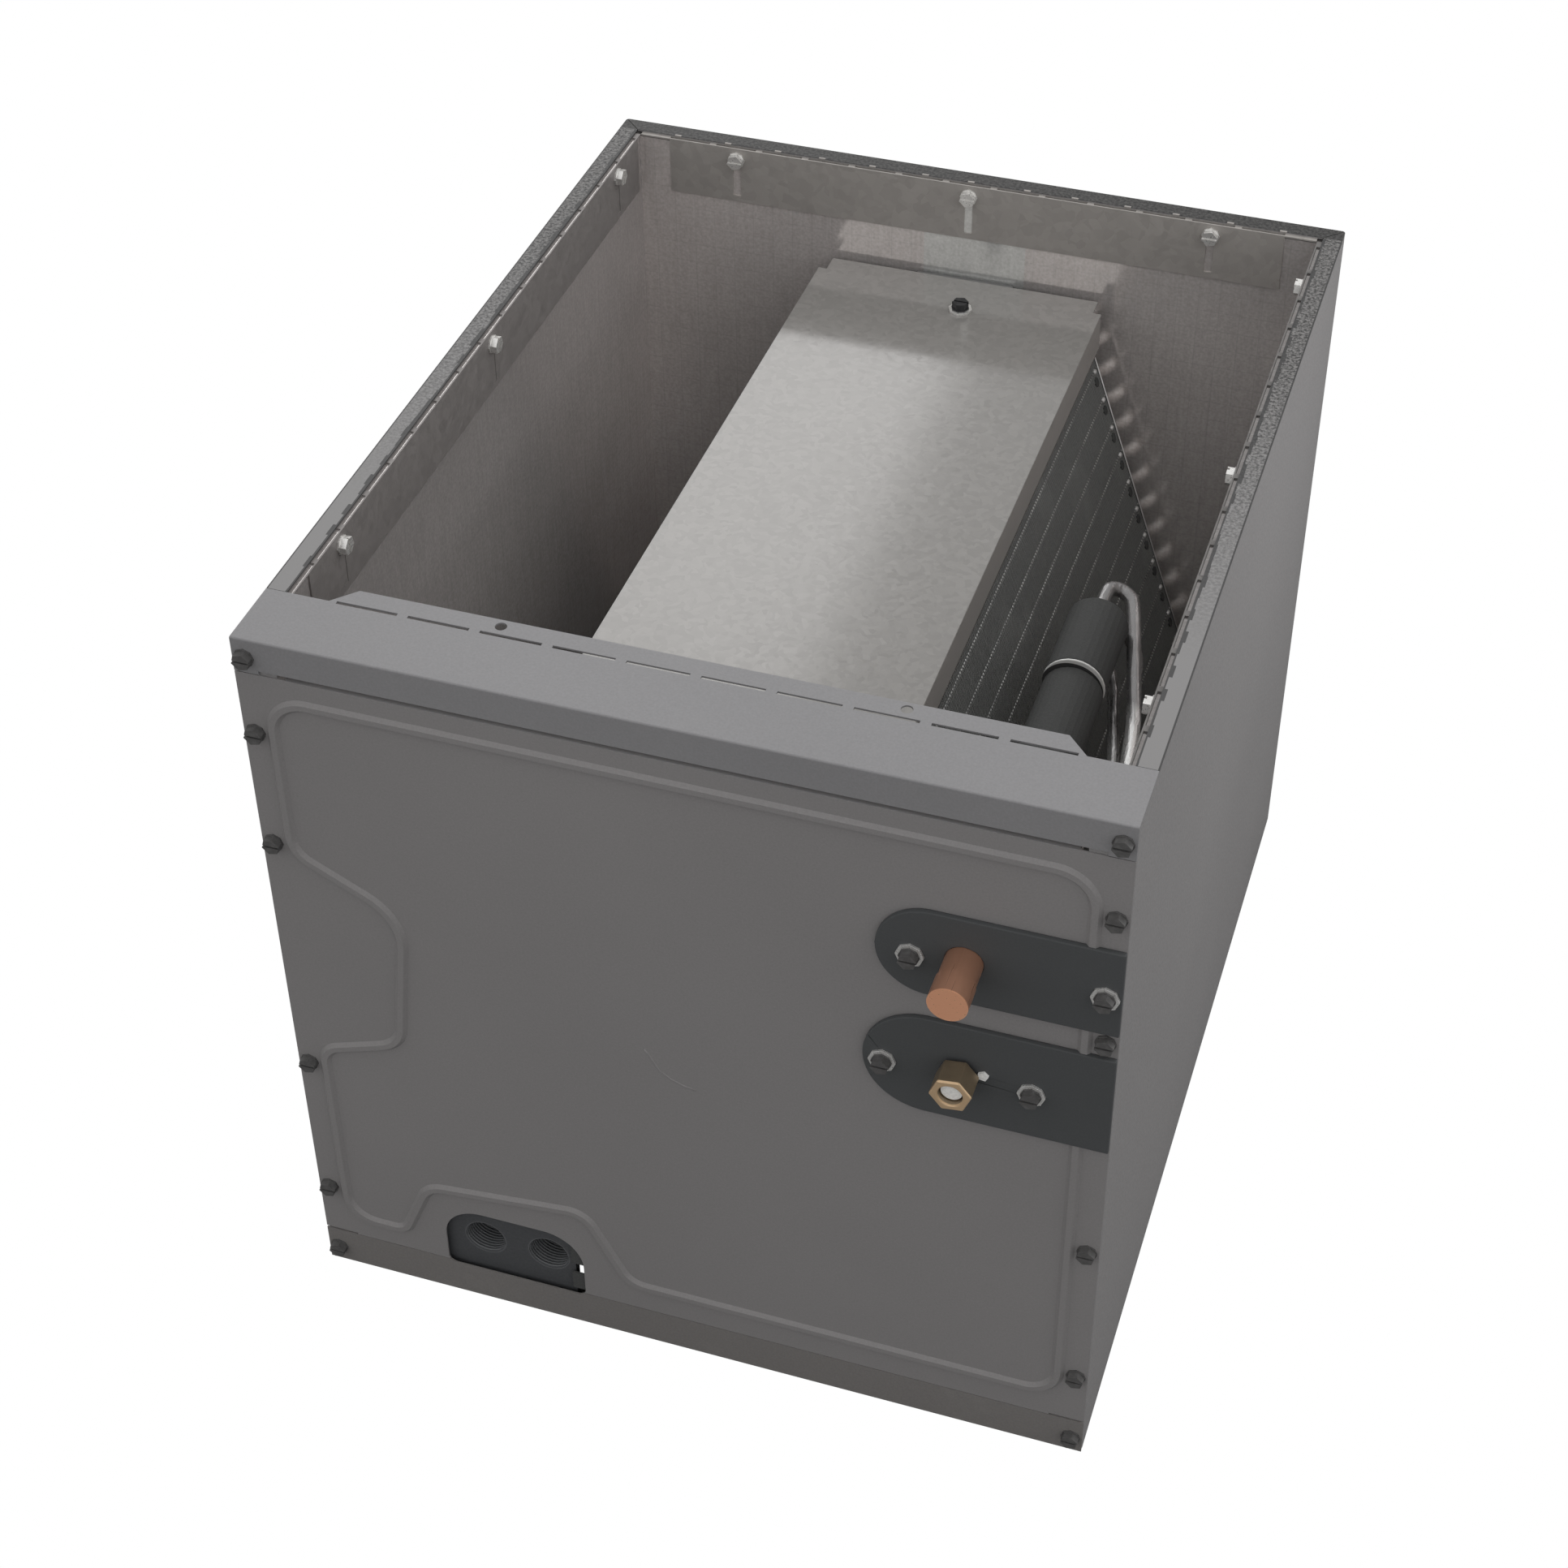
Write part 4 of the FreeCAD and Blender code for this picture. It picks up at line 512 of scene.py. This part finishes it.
finishes = {
    "case_wrap": wrapPaint, "access_panel": casePaint, "front_top_rail": railPaint,
    "front_base_rail": basePaint, "suction_line_plate": platePaint, "liquid_line_plate": platePaint,
    "duct_flange_left": shadedLeftZinc, "duct_flange_right": shadedRightZinc, "duct_flange_rear": stripZinc,
    "pan_support_left": darkZinc, "pan_support_right": darkZinc,
    "coil_cap_plate": capZinc, "block_plate_front": darkZinc, "block_plate_rear": darkZinc,
    "liner_left": linerFoil, "liner_right": paintedLightFoil, "liner_rear": paintedLightFoil, "liner_panel": linerFoil,
    "drain_pan": panPlastic, "coil_fins_left": finCoat, "coil_fins_right": finCoat,
    "tube_sheet_front_left": darkZinc, "tube_sheet_front_right": darkZinc,
    "tube_sheet_rear_left": darkZinc, "tube_sheet_rear_right": darkZinc,
    "return_bends_left": bendMetal, "return_bends_right": bendMetal,
    "circuit_tubes": tubeMetal, "feeder_tubes": tubeMetal,
    "suction_line": copper, "suction_stub_cap": copper, "liquid_line": copper,
    "suction_sleeve_front": sleeveFoam, "suction_sleeve_rear": sleeveFoam, "suction_sleeve_ring": ringMetal,
    "flare_nut": brass, "expansion_valve": brass, "flare_plug": nylon,
    "case_screws": darkSteel, "line_plate_screws": darkSteel,
    "duct_flange_screws": brightSteel, "cap_screw": capSteel,
    "line_plate_washers": brightSteel, "cap_washer": brightSteel}
bevels = {
    "case_wrap": 0.0004, "access_panel": 0.0003, "suction_line_plate": 0.0006, "liquid_line_plate": 0.0006,
    "coil_cap_plate": 0.0004, "suction_sleeve_front": 0.0012, "suction_sleeve_rear": 0.0015,
    "suction_stub_cap": 0.0008, "suction_sleeve_ring": 0.0005, "flare_nut": 0.0008, "drain_pan": 0.001,
    "case_screws": 0.0004, "line_plate_screws": 0.0004, "duct_flange_screws": 0.0004, "cap_screw": 0.0004,
    "line_plate_washers": 0.0002, "cap_washer": 0.0002}
# Bent tubes: how far the smoothed faces are pushed back out to the tube's real radius
rounded = {"return_bends_left": 0.0006, "return_bends_right": 0.0006, "circuit_tubes": 0.00035,
           "feeder_tubes": 0.00025}
edgeOpts = {"weld": 0.00002, "segments": 2, "angle": 35, "subdivisions": 2}


def weldSeams(node):
    weld = node.modifiers.new("weld", "WELD")
    weld.merge_threshold = edgeOpts["weld"]


for name, node in nodes.items():
    node.data.materials.clear()
    node.data.materials.append(finishes[name])
    if name in bevels:
        weldSeams(node)
        bevel = node.modifiers.new("edges", "BEVEL")
        bevel.width = bevels[name]
        bevel.segments = edgeOpts["segments"]
        bevel.limit_method = "ANGLE"
        bevel.angle_limit = math.radians(edgeOpts["angle"])
        bevel.harden_normals = False
        even = node.modifiers.new("even", "WEIGHTED_NORMAL")
        even.keep_sharp = True
    if name in rounded:
        weldSeams(node)
        smooth = node.modifiers.new("round", "SUBSURF")
        smooth.levels = edgeOpts["subdivisions"]
        smooth.render_levels = edgeOpts["subdivisions"]
        full = node.modifiers.new("full", "DISPLACE")
        full.mid_level = 0.0
        full.strength = rounded[name]
print("frame dressed")


# Mesh building

def meshObject(name, verts, faces, mat, smooth=False):
    mesh = bpy.data.meshes.new(name)
    mesh.from_pydata(verts, [], faces)
    mesh.validate()
    mesh.update()
    for poly in mesh.polygons:
        poly.use_smooth = smooth
    obj = bpy.data.objects.new(name, mesh)
    scene.collection.objects.link(obj)
    mesh.materials.append(mat)
    return obj


def ringTube(path, radius, sides, closed=False):
    # Round tube round a list of points, as vertices and faces.
    verts, faces = [], []
    count = len(path)
    normal = None
    for i, point in enumerate(path):
        ahead = path[(i + 1) % count] if closed or i + 1 < count else path[i]
        behind = path[i - 1] if closed or i > 0 else path[i]
        along = (ahead - behind).normalized()
        if normal is None:
            normal = along.orthogonal().normalized()
        normal = (normal - along * normal.dot(along)).normalized()
        other = along.cross(normal)
        for j in range(sides):
            turn = 2 * math.pi * j / sides
            verts.append(point + (normal * math.cos(turn) + other * math.sin(turn)) * radius)
    rings = count if closed else count - 1
    for i in range(rings):
        for j in range(sides):
            a = i * sides + j
            b = i * sides + (j + 1) % sides
            c = ((i + 1) % count) * sides + (j + 1) % sides
            d = ((i + 1) % count) * sides + j
            faces.append((a, b, c, d))
    if not closed:
        faces.append(tuple(reversed(range(sides))))
        faces.append(tuple(range((count - 1) * sides, count * sides)))
    return verts, faces


def join(parts):
    verts, faces = [], []
    for v, f in parts:
        shift = len(verts)
        verts.extend(v)
        faces.extend([tuple(k + shift for k in face) for face in f])
    return verts, faces


def block(lo, hi):
    verts = [Vector((x, y, z)) for x in (lo[0], hi[0]) for y in (lo[1], hi[1]) for z in (lo[2], hi[2])]
    faces = [(0, 1, 3, 2), (4, 6, 7, 5), (0, 4, 5, 1), (2, 3, 7, 6), (0, 2, 6, 4), (1, 5, 7, 3)]
    return verts, faces


def torus(centre, axis, major, minor, sides=16, around=6):
    # Closed ring about an axis through the centre.
    side = axis.orthogonal().normalized()
    other = axis.cross(side).normalized()
    path = []
    for k in range(sides):
        turn = 2 * math.pi * k / sides
        path.append(centre + (side * math.cos(turn) + other * math.sin(turn)) * major)
    return ringTube(path, minor, around, True)


def finish(obj):
    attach(obj, "root")


# Fin edges: thin plates standing just proud of each slab's faces

def sectionOf(node):
    # Corners of the slab's outline at its front end, as x, z, from the node's own vertices.
    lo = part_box(node)[0]
    points = []
    for v in nodes[node].data.vertices:
        if abs(v.co.y - lo.y) < 0.00005:
            key = (round(v.co.x, 5), round(v.co.z, 5))
            if key not in points:
                points.append(key)
    return points


finOpts = {"pitch": 0.00181, "thick": 0.00022, "proud": 0.0006, "jitter": 0.00008, "lean": 0.00025,
           "deep": 0.002, "faceBand": 0.003, "backBand": 0.0005, "waves": 9, "sway": 0.4}


def finEdges(side):
    # One narrow strip per fin along the outer face and the inner face, with short webs back into the slab.
    node = "coil_fins_" + side
    lo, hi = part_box(node)
    sign = 1 if side == "right" else -1
    points = [Vector((sign * x, z)) for x, z in sectionOf(node)]
    top = max(points, key=lambda p: p.y)
    down = max(points, key=lambda p: p.x)
    along = (down - top).normalized()
    out = Vector((-along.y, along.x))
    if out.x < 0:
        out = -out
    face = sorted([p for p in points if (p - top).dot(out) > -finOpts["faceBand"]],
                  key=lambda p: (p - top).dot(along))
    deepest = min((p - top).dot(out) for p in points)
    back = sorted([p for p in points if (p - top).dot(out) < deepest + finOpts["backBand"]],
                  key=lambda p: -(p - top).dot(along))
    loop = [p + out * finOpts["proud"] for p in face] + [p - out * finOpts["proud"] for p in back]
    parts = []
    y = lo.y + finOpts["pitch"] / 2
    count = len(loop)
    while y < hi.y - finOpts["thick"]:
        shift = random.uniform(-1, 1) * finOpts["jitter"]
        twist = random.uniform(-1, 1) * finOpts["lean"]
        verts = []
        for offset in (0.0, finOpts["thick"]):
            for k, p in enumerate(loop):
                bend = twist * math.sin(finOpts["waves"] * k / count)
                verts.append(Vector((sign * p.x, y + offset + shift + bend * finOpts["sway"], p.y)))
        faces = []
        for k in list(range(len(face) - 1)) + list(range(len(face), count - 1)):
            faces.append((k, k + 1, k + 1 + count, k + count))
        for ring in (0, count):
            for k in range(len(face) - 1):
                a, b = k + ring, k + 1 + ring
                for corner in (a, b):
                    verts.append(Vector(verts[corner]) - Vector((sign * out.x, 0, out.y)) * finOpts["deep"])
                base = len(verts)
                faces.append((a, b, base - 1, base - 2))
        parts.append((verts, faces))
        y += finOpts["pitch"]
    finish(meshObject("finEdges" + side.capitalize(), *join(parts), finCoat))
    return top, along, out, face


rightSlab = finEdges("right")
leftSlab = finEdges("left")
print("fin edges made")


# Collar lines between the fins, joints and hairpins at the tube sheets, tube ends and discs of painted shade
# at the rear

tubeOpts = {"pitch": 0.02, "rowPitch": 0.019, "faceToRow": 0.005, "radius": 0.0036, "sides": 12,
            "bendSteps": 12, "glintRadius": 0.0008, "glintDepth": 0.0002, "glintSides": 6, "sheet": 0.0015,
            "jointRadius": 0.0038, "jointThick": 0.0009, "clearOfLines": 0.17,
            "endRows": 12, "endProud": 0.0003, "endRadius": 0.0014, "endBack": 0.0078, "endLong": 0.003,
            "endSides": 10, "shadeDrop": 0.0062, "shadeRadius": 0.003, "shadeProud": 0.0002, "shadeLong": 0.0009,
            "shadeSides": 14}


def slabPoint(data, distance, inward):
    # Point this far down the slab's outer face and this deep under it, as x, z in the right slab's sense.
    top, along, out, face = data
    return top + along * distance - out * inward


def tubeJoint(sign, y, at):
    return torus(Vector((sign * at.x, y, at.y)), Vector((0, 1, 0)), tubeOpts["jointRadius"],
                 tubeOpts["jointThick"])


def hairpin(sign, y, first, last):
    path = []
    for k in range(tubeOpts["bendSteps"] + 1):
        turn = math.pi * k / tubeOpts["bendSteps"]
        q = first.lerp(last, (1 - math.cos(turn)) / 2)
        path.append(Vector((sign * q.x, y - math.sin(turn) * tubeOpts["pitch"] / 2, q.y)))
    return ringTube(path, tubeOpts["radius"], tubeOpts["sides"])


def coilRods(side, data):
    lo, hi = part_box("coil_fins_" + side)
    sign = 1 if side == "right" else -1
    length = max((p - data[0]).dot(data[1]) for p in data[3])
    count = int(round(length / tubeOpts["pitch"]))
    rods, hairpins, joints, ends, shadeDiscs = [], [], [], [], []
    outward = Vector((sign * data[2].x, 0.0, data[2].y))
    endY = hi.y - tubeOpts["endBack"]
    for i in range(count):
        middle = (i + 0.5) * tubeOpts["pitch"]
        p = slabPoint(data, middle, tubeOpts["glintDepth"])
        rods.append(ringTube([Vector((sign * p.x, lo.y, p.y)), Vector((sign * p.x, hi.y, p.y))],
                             tubeOpts["glintRadius"], tubeOpts["glintSides"]))
        for row in (0, 1):
            q = slabPoint(data, middle, tubeOpts["faceToRow"] + row * tubeOpts["rowPitch"])
            joints.append(tubeJoint(sign, hi.y + tubeOpts["sheet"], q))
        if i % 2 == 0 and i + 1 < count and (side == "left" or middle < tubeOpts["clearOfLines"]):
            deep = tubeOpts["faceToRow"] + tubeOpts["rowPitch"]
            first = slabPoint(data, middle, deep)
            last = slabPoint(data, middle + tubeOpts["pitch"], deep)
            front = lo.y - tubeOpts["sheet"]
            hairpins.append(hairpin(sign, front, first, last))
            for end in (first, last):
                joints.append(tubeJoint(sign, front, end))
        if i < tubeOpts["endRows"]:
            q = slabPoint(data, middle, -tubeOpts["endProud"])
            ends.append(ringTube([Vector((sign * q.x, endY, q.y)),
                                  Vector((sign * q.x, endY + tubeOpts["endLong"], q.y))],
                                 tubeOpts["endRadius"], tubeOpts["endSides"]))
            # Dark disc of painted shade beside each tube end
            r = slabPoint(data, middle + tubeOpts["shadeDrop"], -tubeOpts["shadeProud"])
            centre = Vector((sign * r.x, endY, r.y))
            shadeDiscs.append(ringTube([centre, centre + outward * tubeOpts["shadeLong"]], tubeOpts["shadeRadius"],
                                  tubeOpts["shadeSides"]))
    label = side.capitalize()
    finish(meshObject("tubeEnds" + label, *join(ends), bendMetal, True))
    finish(meshObject("paintedShadeDiscs" + label, *join(shadeDiscs), sleeveFoam))
    finish(meshObject("collarLines" + label, *join(rods), paintedCollarGlint, True))
    finish(meshObject("hairpinEnds" + label, *join(hairpins), tubeMetal, True))
    finish(meshObject("tubeJoints" + label, *join(joints), solder, True))


coilRods("right", rightSlab)
coilRods("left", leftSlab)
print("coil tubes made")

# Painted highlight down the outer side of each rear tube sheet: a thin light rod along its edge
glintRodOpts = {"radius": 0.0005, "foot": 0.075, "drop": 0.004, "sides": 8}


def sheetEdgeGlint(side):
    node = "tube_sheet_rear_" + side
    lo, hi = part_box(node)
    sign = 1 if side == "right" else -1
    reach = hi.x if side == "right" else -lo.x
    far = max(abs(v.co.x) for v in nodes[node].data.vertices if v.co.z > hi.z - 0.0001)
    slope = (reach - far) / (hi.z - lo.z)
    top = hi.z - glintRodOpts["drop"]
    path = [Vector((sign * (far + slope * (hi.z - z)), (lo.y + hi.y) / 2, z)) for z in (top, glintRodOpts["foot"])]
    glintRod = ringTube(path, glintRodOpts["radius"], glintRodOpts["sides"])
    finish(meshObject("sheetEdgeGlint" + side.capitalize(), *glintRod, bendMetal, True))


sheetEdgeGlint("right")
sheetEdgeGlint("left")

# Small light bush in the liquid line plate, beside the nut
bushOpts = {"aside": 0.0122, "up": 0.0014, "radius": 0.0029, "out": 0.0014, "sunk": 0.001, "sides": 5}
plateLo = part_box("liquid_line_plate")[0]
nutLo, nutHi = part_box("flare_nut")
bushAt = Vector(((nutLo.x + nutHi.x) / 2 + bushOpts["aside"], plateLo.y,
                 (nutLo.z + nutHi.z) / 2 + bushOpts["up"]))
bush = ringTube([bushAt + Vector((0, bushOpts["sunk"], 0)), bushAt - Vector((0, bushOpts["out"], 0))],
                bushOpts["radius"], bushOpts["sides"])
finish(meshObject("plateBush", *bush, nylon, False))
print("small trim made")

# Painted light: a bright foil strip on the rear liner behind the cap, standing in for a pool of light, and
# bright foil behind the middle lift slot
patchOpts = {"left": -0.027, "right": 0.036, "thick": 0.00015, "foot": 0.12, "bedded": 0.00005}
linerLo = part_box("liner_rear")[0]
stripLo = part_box("duct_flange_rear")[0]
lightPatch = block((patchOpts["left"], linerLo.y - patchOpts["thick"], patchOpts["foot"]),
             (patchOpts["right"], linerLo.y + patchOpts["bedded"], stripLo.z))
finish(meshObject("rearLightPatch", *lightPatch, paintedLightPatchFoil))
slotOpts = {"half": 0.0034, "top": 0.0084, "long": 0.0268, "thick": 0.00012, "clear": 0.0003,
            "nearWall": 0.012, "cornerGap": 0.02, "screwGap": 0.02}
high = wrapHi.z - slotOpts["top"]
low = high - slotOpts["long"]
slotLightPatch = block((-slotOpts["half"], linerLo.y - slotOpts["thick"], low),
                 (slotOpts["half"], linerLo.y + patchOpts["bedded"], high))
finish(meshObject("slotLightPatch", *slotLightPatch, paintedLightPatchFoil))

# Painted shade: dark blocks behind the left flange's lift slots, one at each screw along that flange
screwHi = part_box("duct_flange_screws")[1]
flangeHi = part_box("duct_flange_left")[1]
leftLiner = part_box("liner_left")[1]
wallX = flangeHi.x + slotOpts["nearWall"]
rearY = screwHi.y - slotOpts["cornerGap"]
screwY = sorted({round(v.co.y, 3) for v in nodes["duct_flange_screws"].data.vertices
                 if v.co.x < wallX and v.co.y < rearY})
groups = []
for y in screwY:
    if groups and y - groups[-1][-1] < slotOpts["screwGap"]:
        groups[-1].append(y)
    else:
        groups.append([y])
shadeBlocks = []
for group in groups:
    y = (group[0] + group[-1]) / 2
    shadeBlocks.append(block((leftLiner.x - patchOpts["bedded"], y - slotOpts["half"], low),
                           (flangeHi.x - slotOpts["clear"], y + slotOpts["half"], high)))
finish(meshObject("leftSlotShade", *join(shadeBlocks), shadedLeftZinc))

# Nicks along the rear rim's inner edge
nickOpts = {"from": -0.186, "pitch": 0.031, "count": 13, "long": 0.004, "deep": 0.0012, "shift": 0.002,
            "inset": 0.011, "under": 0.0001, "down": 0.0008, "proud": 0.00003}
nicks = []
for k in range(nickOpts["count"]):
    x = nickOpts["from"] + k * nickOpts["pitch"] + random.uniform(-1, 1) * nickOpts["shift"]
    edge = wrapHi.y - nickOpts["inset"]
    nicks.append(block((x, edge - nickOpts["under"], wrapHi.z - nickOpts["down"]),
                       (x + nickOpts["long"], edge + nickOpts["deep"], wrapHi.z + nickOpts["proud"])))
finish(meshObject("rimNicks", *join(nicks), stripZinc))
print("tape made")

# Faint pressed arc on the access panel
arcOpts = {"points": ((-0.0202, 0.2372), (-0.0182, 0.2349), (-0.0125, 0.2241), (-0.006, 0.2194),
                      (0.0014, 0.2165), (0.0074, 0.2155)), "radius": 0.0011, "sunk": 0.0008, "sides": 10}
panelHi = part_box("access_panel")[1]
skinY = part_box("front_base_rail")[0].y
arc = [Vector((x, skinY + arcOpts["sunk"], z)) for x, z in arcOpts["points"]]
finish(meshObject("pressedArc", *ringTube(arc, arcOpts["radius"], arcOpts["sides"]), casePaint, True))

# Rolled lip along the panel's top fold
foldOpts = {"radius": 0.0006, "inset": 0.027, "drop": 0.0005, "sides": 10}
foldReach = panelHi.x - foldOpts["inset"]
fold = [Vector((side * foldReach, skinY + foldOpts["radius"], panelHi.z - foldOpts["drop"]))
        for side in (-1, 1)]
finish(meshObject("foldLip", *ringTube(fold, foldOpts["radius"], foldOpts["sides"]), railPaint, True))

# Threads inside the drain ports
threadOpts = {"centres": (-0.124, -0.086), "height": 0.047, "radius": 0.012, "depth": 0.0006,
              "pitch": 0.0018, "turns": 9, "start": 0.0045, "steps": 32, "sides": 6}
threads = []
for x in threadOpts["centres"]:
    path = []
    for k in range(threadOpts["turns"] * threadOpts["steps"] + 1):
        turn = 2 * math.pi * k / threadOpts["steps"]
        path.append(Vector((x + math.cos(turn) * threadOpts["radius"],
                            skinY + threadOpts["start"] + threadOpts["pitch"] * k / threadOpts["steps"],
                            threadOpts["height"] + math.sin(turn) * threadOpts["radius"])))
    threads.append(ringTube(path, threadOpts["depth"], threadOpts["sides"]))
finish(meshObject("portThreads", *join(threads), panPlastic, True))

# Foam strips behind the panel, closing the drain opening's right edge above and below the last gap
foamOpts = {"left": -0.0715, "right": -0.0622, "near": -0.2508, "far": -0.2498,
            "spans": ((0.0265, 0.0398), (0.0474, 0.0605))}
strips = [block((foamOpts["left"], foamOpts["near"], lowZ), (foamOpts["right"], foamOpts["far"], highZ))
          for lowZ, highZ in foamOpts["spans"]]
finish(meshObject("drainFoam", *join(strips), sleeveFoam))
print("panel trim made")

# Camera
cameraOpts = {"eye": (0.37355, -1.18611, 1.31281), "right": (0.95309, 0.302686, 0.001195),
              "down": (0.192038, -0.601624, -0.775351), "ahead": (-0.233969, 0.739209, -0.631529),
              "lens": 65.88, "sensor": 36.0, "shiftX": -0.0282, "shiftY": -0.0768, "far": 50.0}
camData = bpy.data.cameras.new("camera")
camera = bpy.data.objects.new("camera", camData)
scene.collection.objects.link(camera)
right = Vector(cameraOpts["right"])
up = -Vector(cameraOpts["down"])
back = -Vector(cameraOpts["ahead"])
camera.matrix_world = Matrix.Translation(cameraOpts["eye"]) @ Matrix((right, up, back)).transposed().to_4x4()
camData.sensor_width = cameraOpts["sensor"]
camData.lens = cameraOpts["lens"]
camData.shift_x = cameraOpts["shiftX"]
camData.shift_y = cameraOpts["shiftY"]
camData.clip_end = cameraOpts["far"]
scene.camera = camera

# Floor: plain white to the camera, a dark even tone to everything that it lights
floorOpts = {"half": 6.0, "color": (0.22, 0.22, 0.22, 1), "level": -0.0002}
floorMat, tree = newTree("floorPale")
place = objectCoords(tree)
mottle = add(tree, "ShaderNodeTexNoise", {"Vector": place, "Scale": 1.5, "Detail": 2.0}).outputs["Fac"]
floorColor = toned(tree, floorOpts["color"], ramp(tree, mottle, 0.3, 0.7, 0.985, 1.0))
plain = add(tree, "ShaderNodeBsdfDiffuse", {"Color": floorColor})
white = add(tree, "ShaderNodeEmission", {"Color": (1, 1, 1, 1), "Strength": 1.0})
seen = add(tree, "ShaderNodeLightPath").outputs["Is Camera Ray"]
blend = add(tree, "ShaderNodeMixShader", {0: seen, 1: plain.outputs[0], 2: white.outputs[0]})
add(tree, "ShaderNodeOutputMaterial", {"Surface": blend.outputs[0]})
half = floorOpts["half"]
corners = [(x * half, y * half, floorOpts["level"]) for x, y in ((-1, -1), (1, -1), (1, 1), (-1, 1))]
floor = meshObject("floor", corners, [(0, 1, 2, 3)], floorMat)

# Even studio light from all round, and three soft lamps
worldOpts = {"ambient": 0.92, "tint": (1.0, 1.0, 1.0, 1)}
world = bpy.data.worlds.new("studio")
world.use_nodes = True
tree = world.node_tree
tree.nodes.clear()
seen = add(tree, "ShaderNodeLightPath").outputs["Is Camera Ray"]
soft = add(tree, "ShaderNodeBackground", {"Color": worldOpts["tint"], "Strength": worldOpts["ambient"]})
clean = add(tree, "ShaderNodeBackground", {"Color": (1, 1, 1, 1), "Strength": 1.0})
mixed = add(tree, "ShaderNodeMixShader", {0: seen, 1: soft.outputs[0], 2: clean.outputs[0]})
add(tree, "ShaderNodeOutputWorld", {"Surface": mixed.outputs[0]})
scene.world = world

lightOpts = [
    {"name": "keyRight", "place": (0.58, 0.18, 0.52), "aim": (0.22, 0.15, 0.36), "size": (0.2, 0.2),
     "power": 0.65, "roll": 0.0},
    {"name": "topRight", "place": (0.95, -0.1, 1.75), "aim": (0.0, 0.05, 0.35), "size": (1.0, 1.0),
     "power": 3.0, "roll": 0.0},
    {"name": "backLeft", "place": (-1.395, 2.5, 2.02), "aim": (-1.395, 0.0, 2.02), "size": (1.5, 1.9),
     "power": 19.0, "roll": -18.8}]
for opts in lightOpts:
    data = bpy.data.lights.new(opts["name"], "AREA")
    data.shape = "RECTANGLE"
    data.size, data.size_y = opts["size"]
    data.energy = opts["power"]
    lamp = bpy.data.objects.new(opts["name"], data)
    turn = (Vector(opts["aim"]) - Vector(opts["place"])).to_track_quat("-Z", "Y").to_matrix().to_4x4()
    roll = Matrix.Rotation(math.radians(opts["roll"]), 4, "Z")
    lamp.matrix_world = Matrix.Translation(opts["place"]) @ turn @ roll
    scene.collection.objects.link(lamp)
scene.view_settings.view_transform = "Standard"
print("camera and light set")
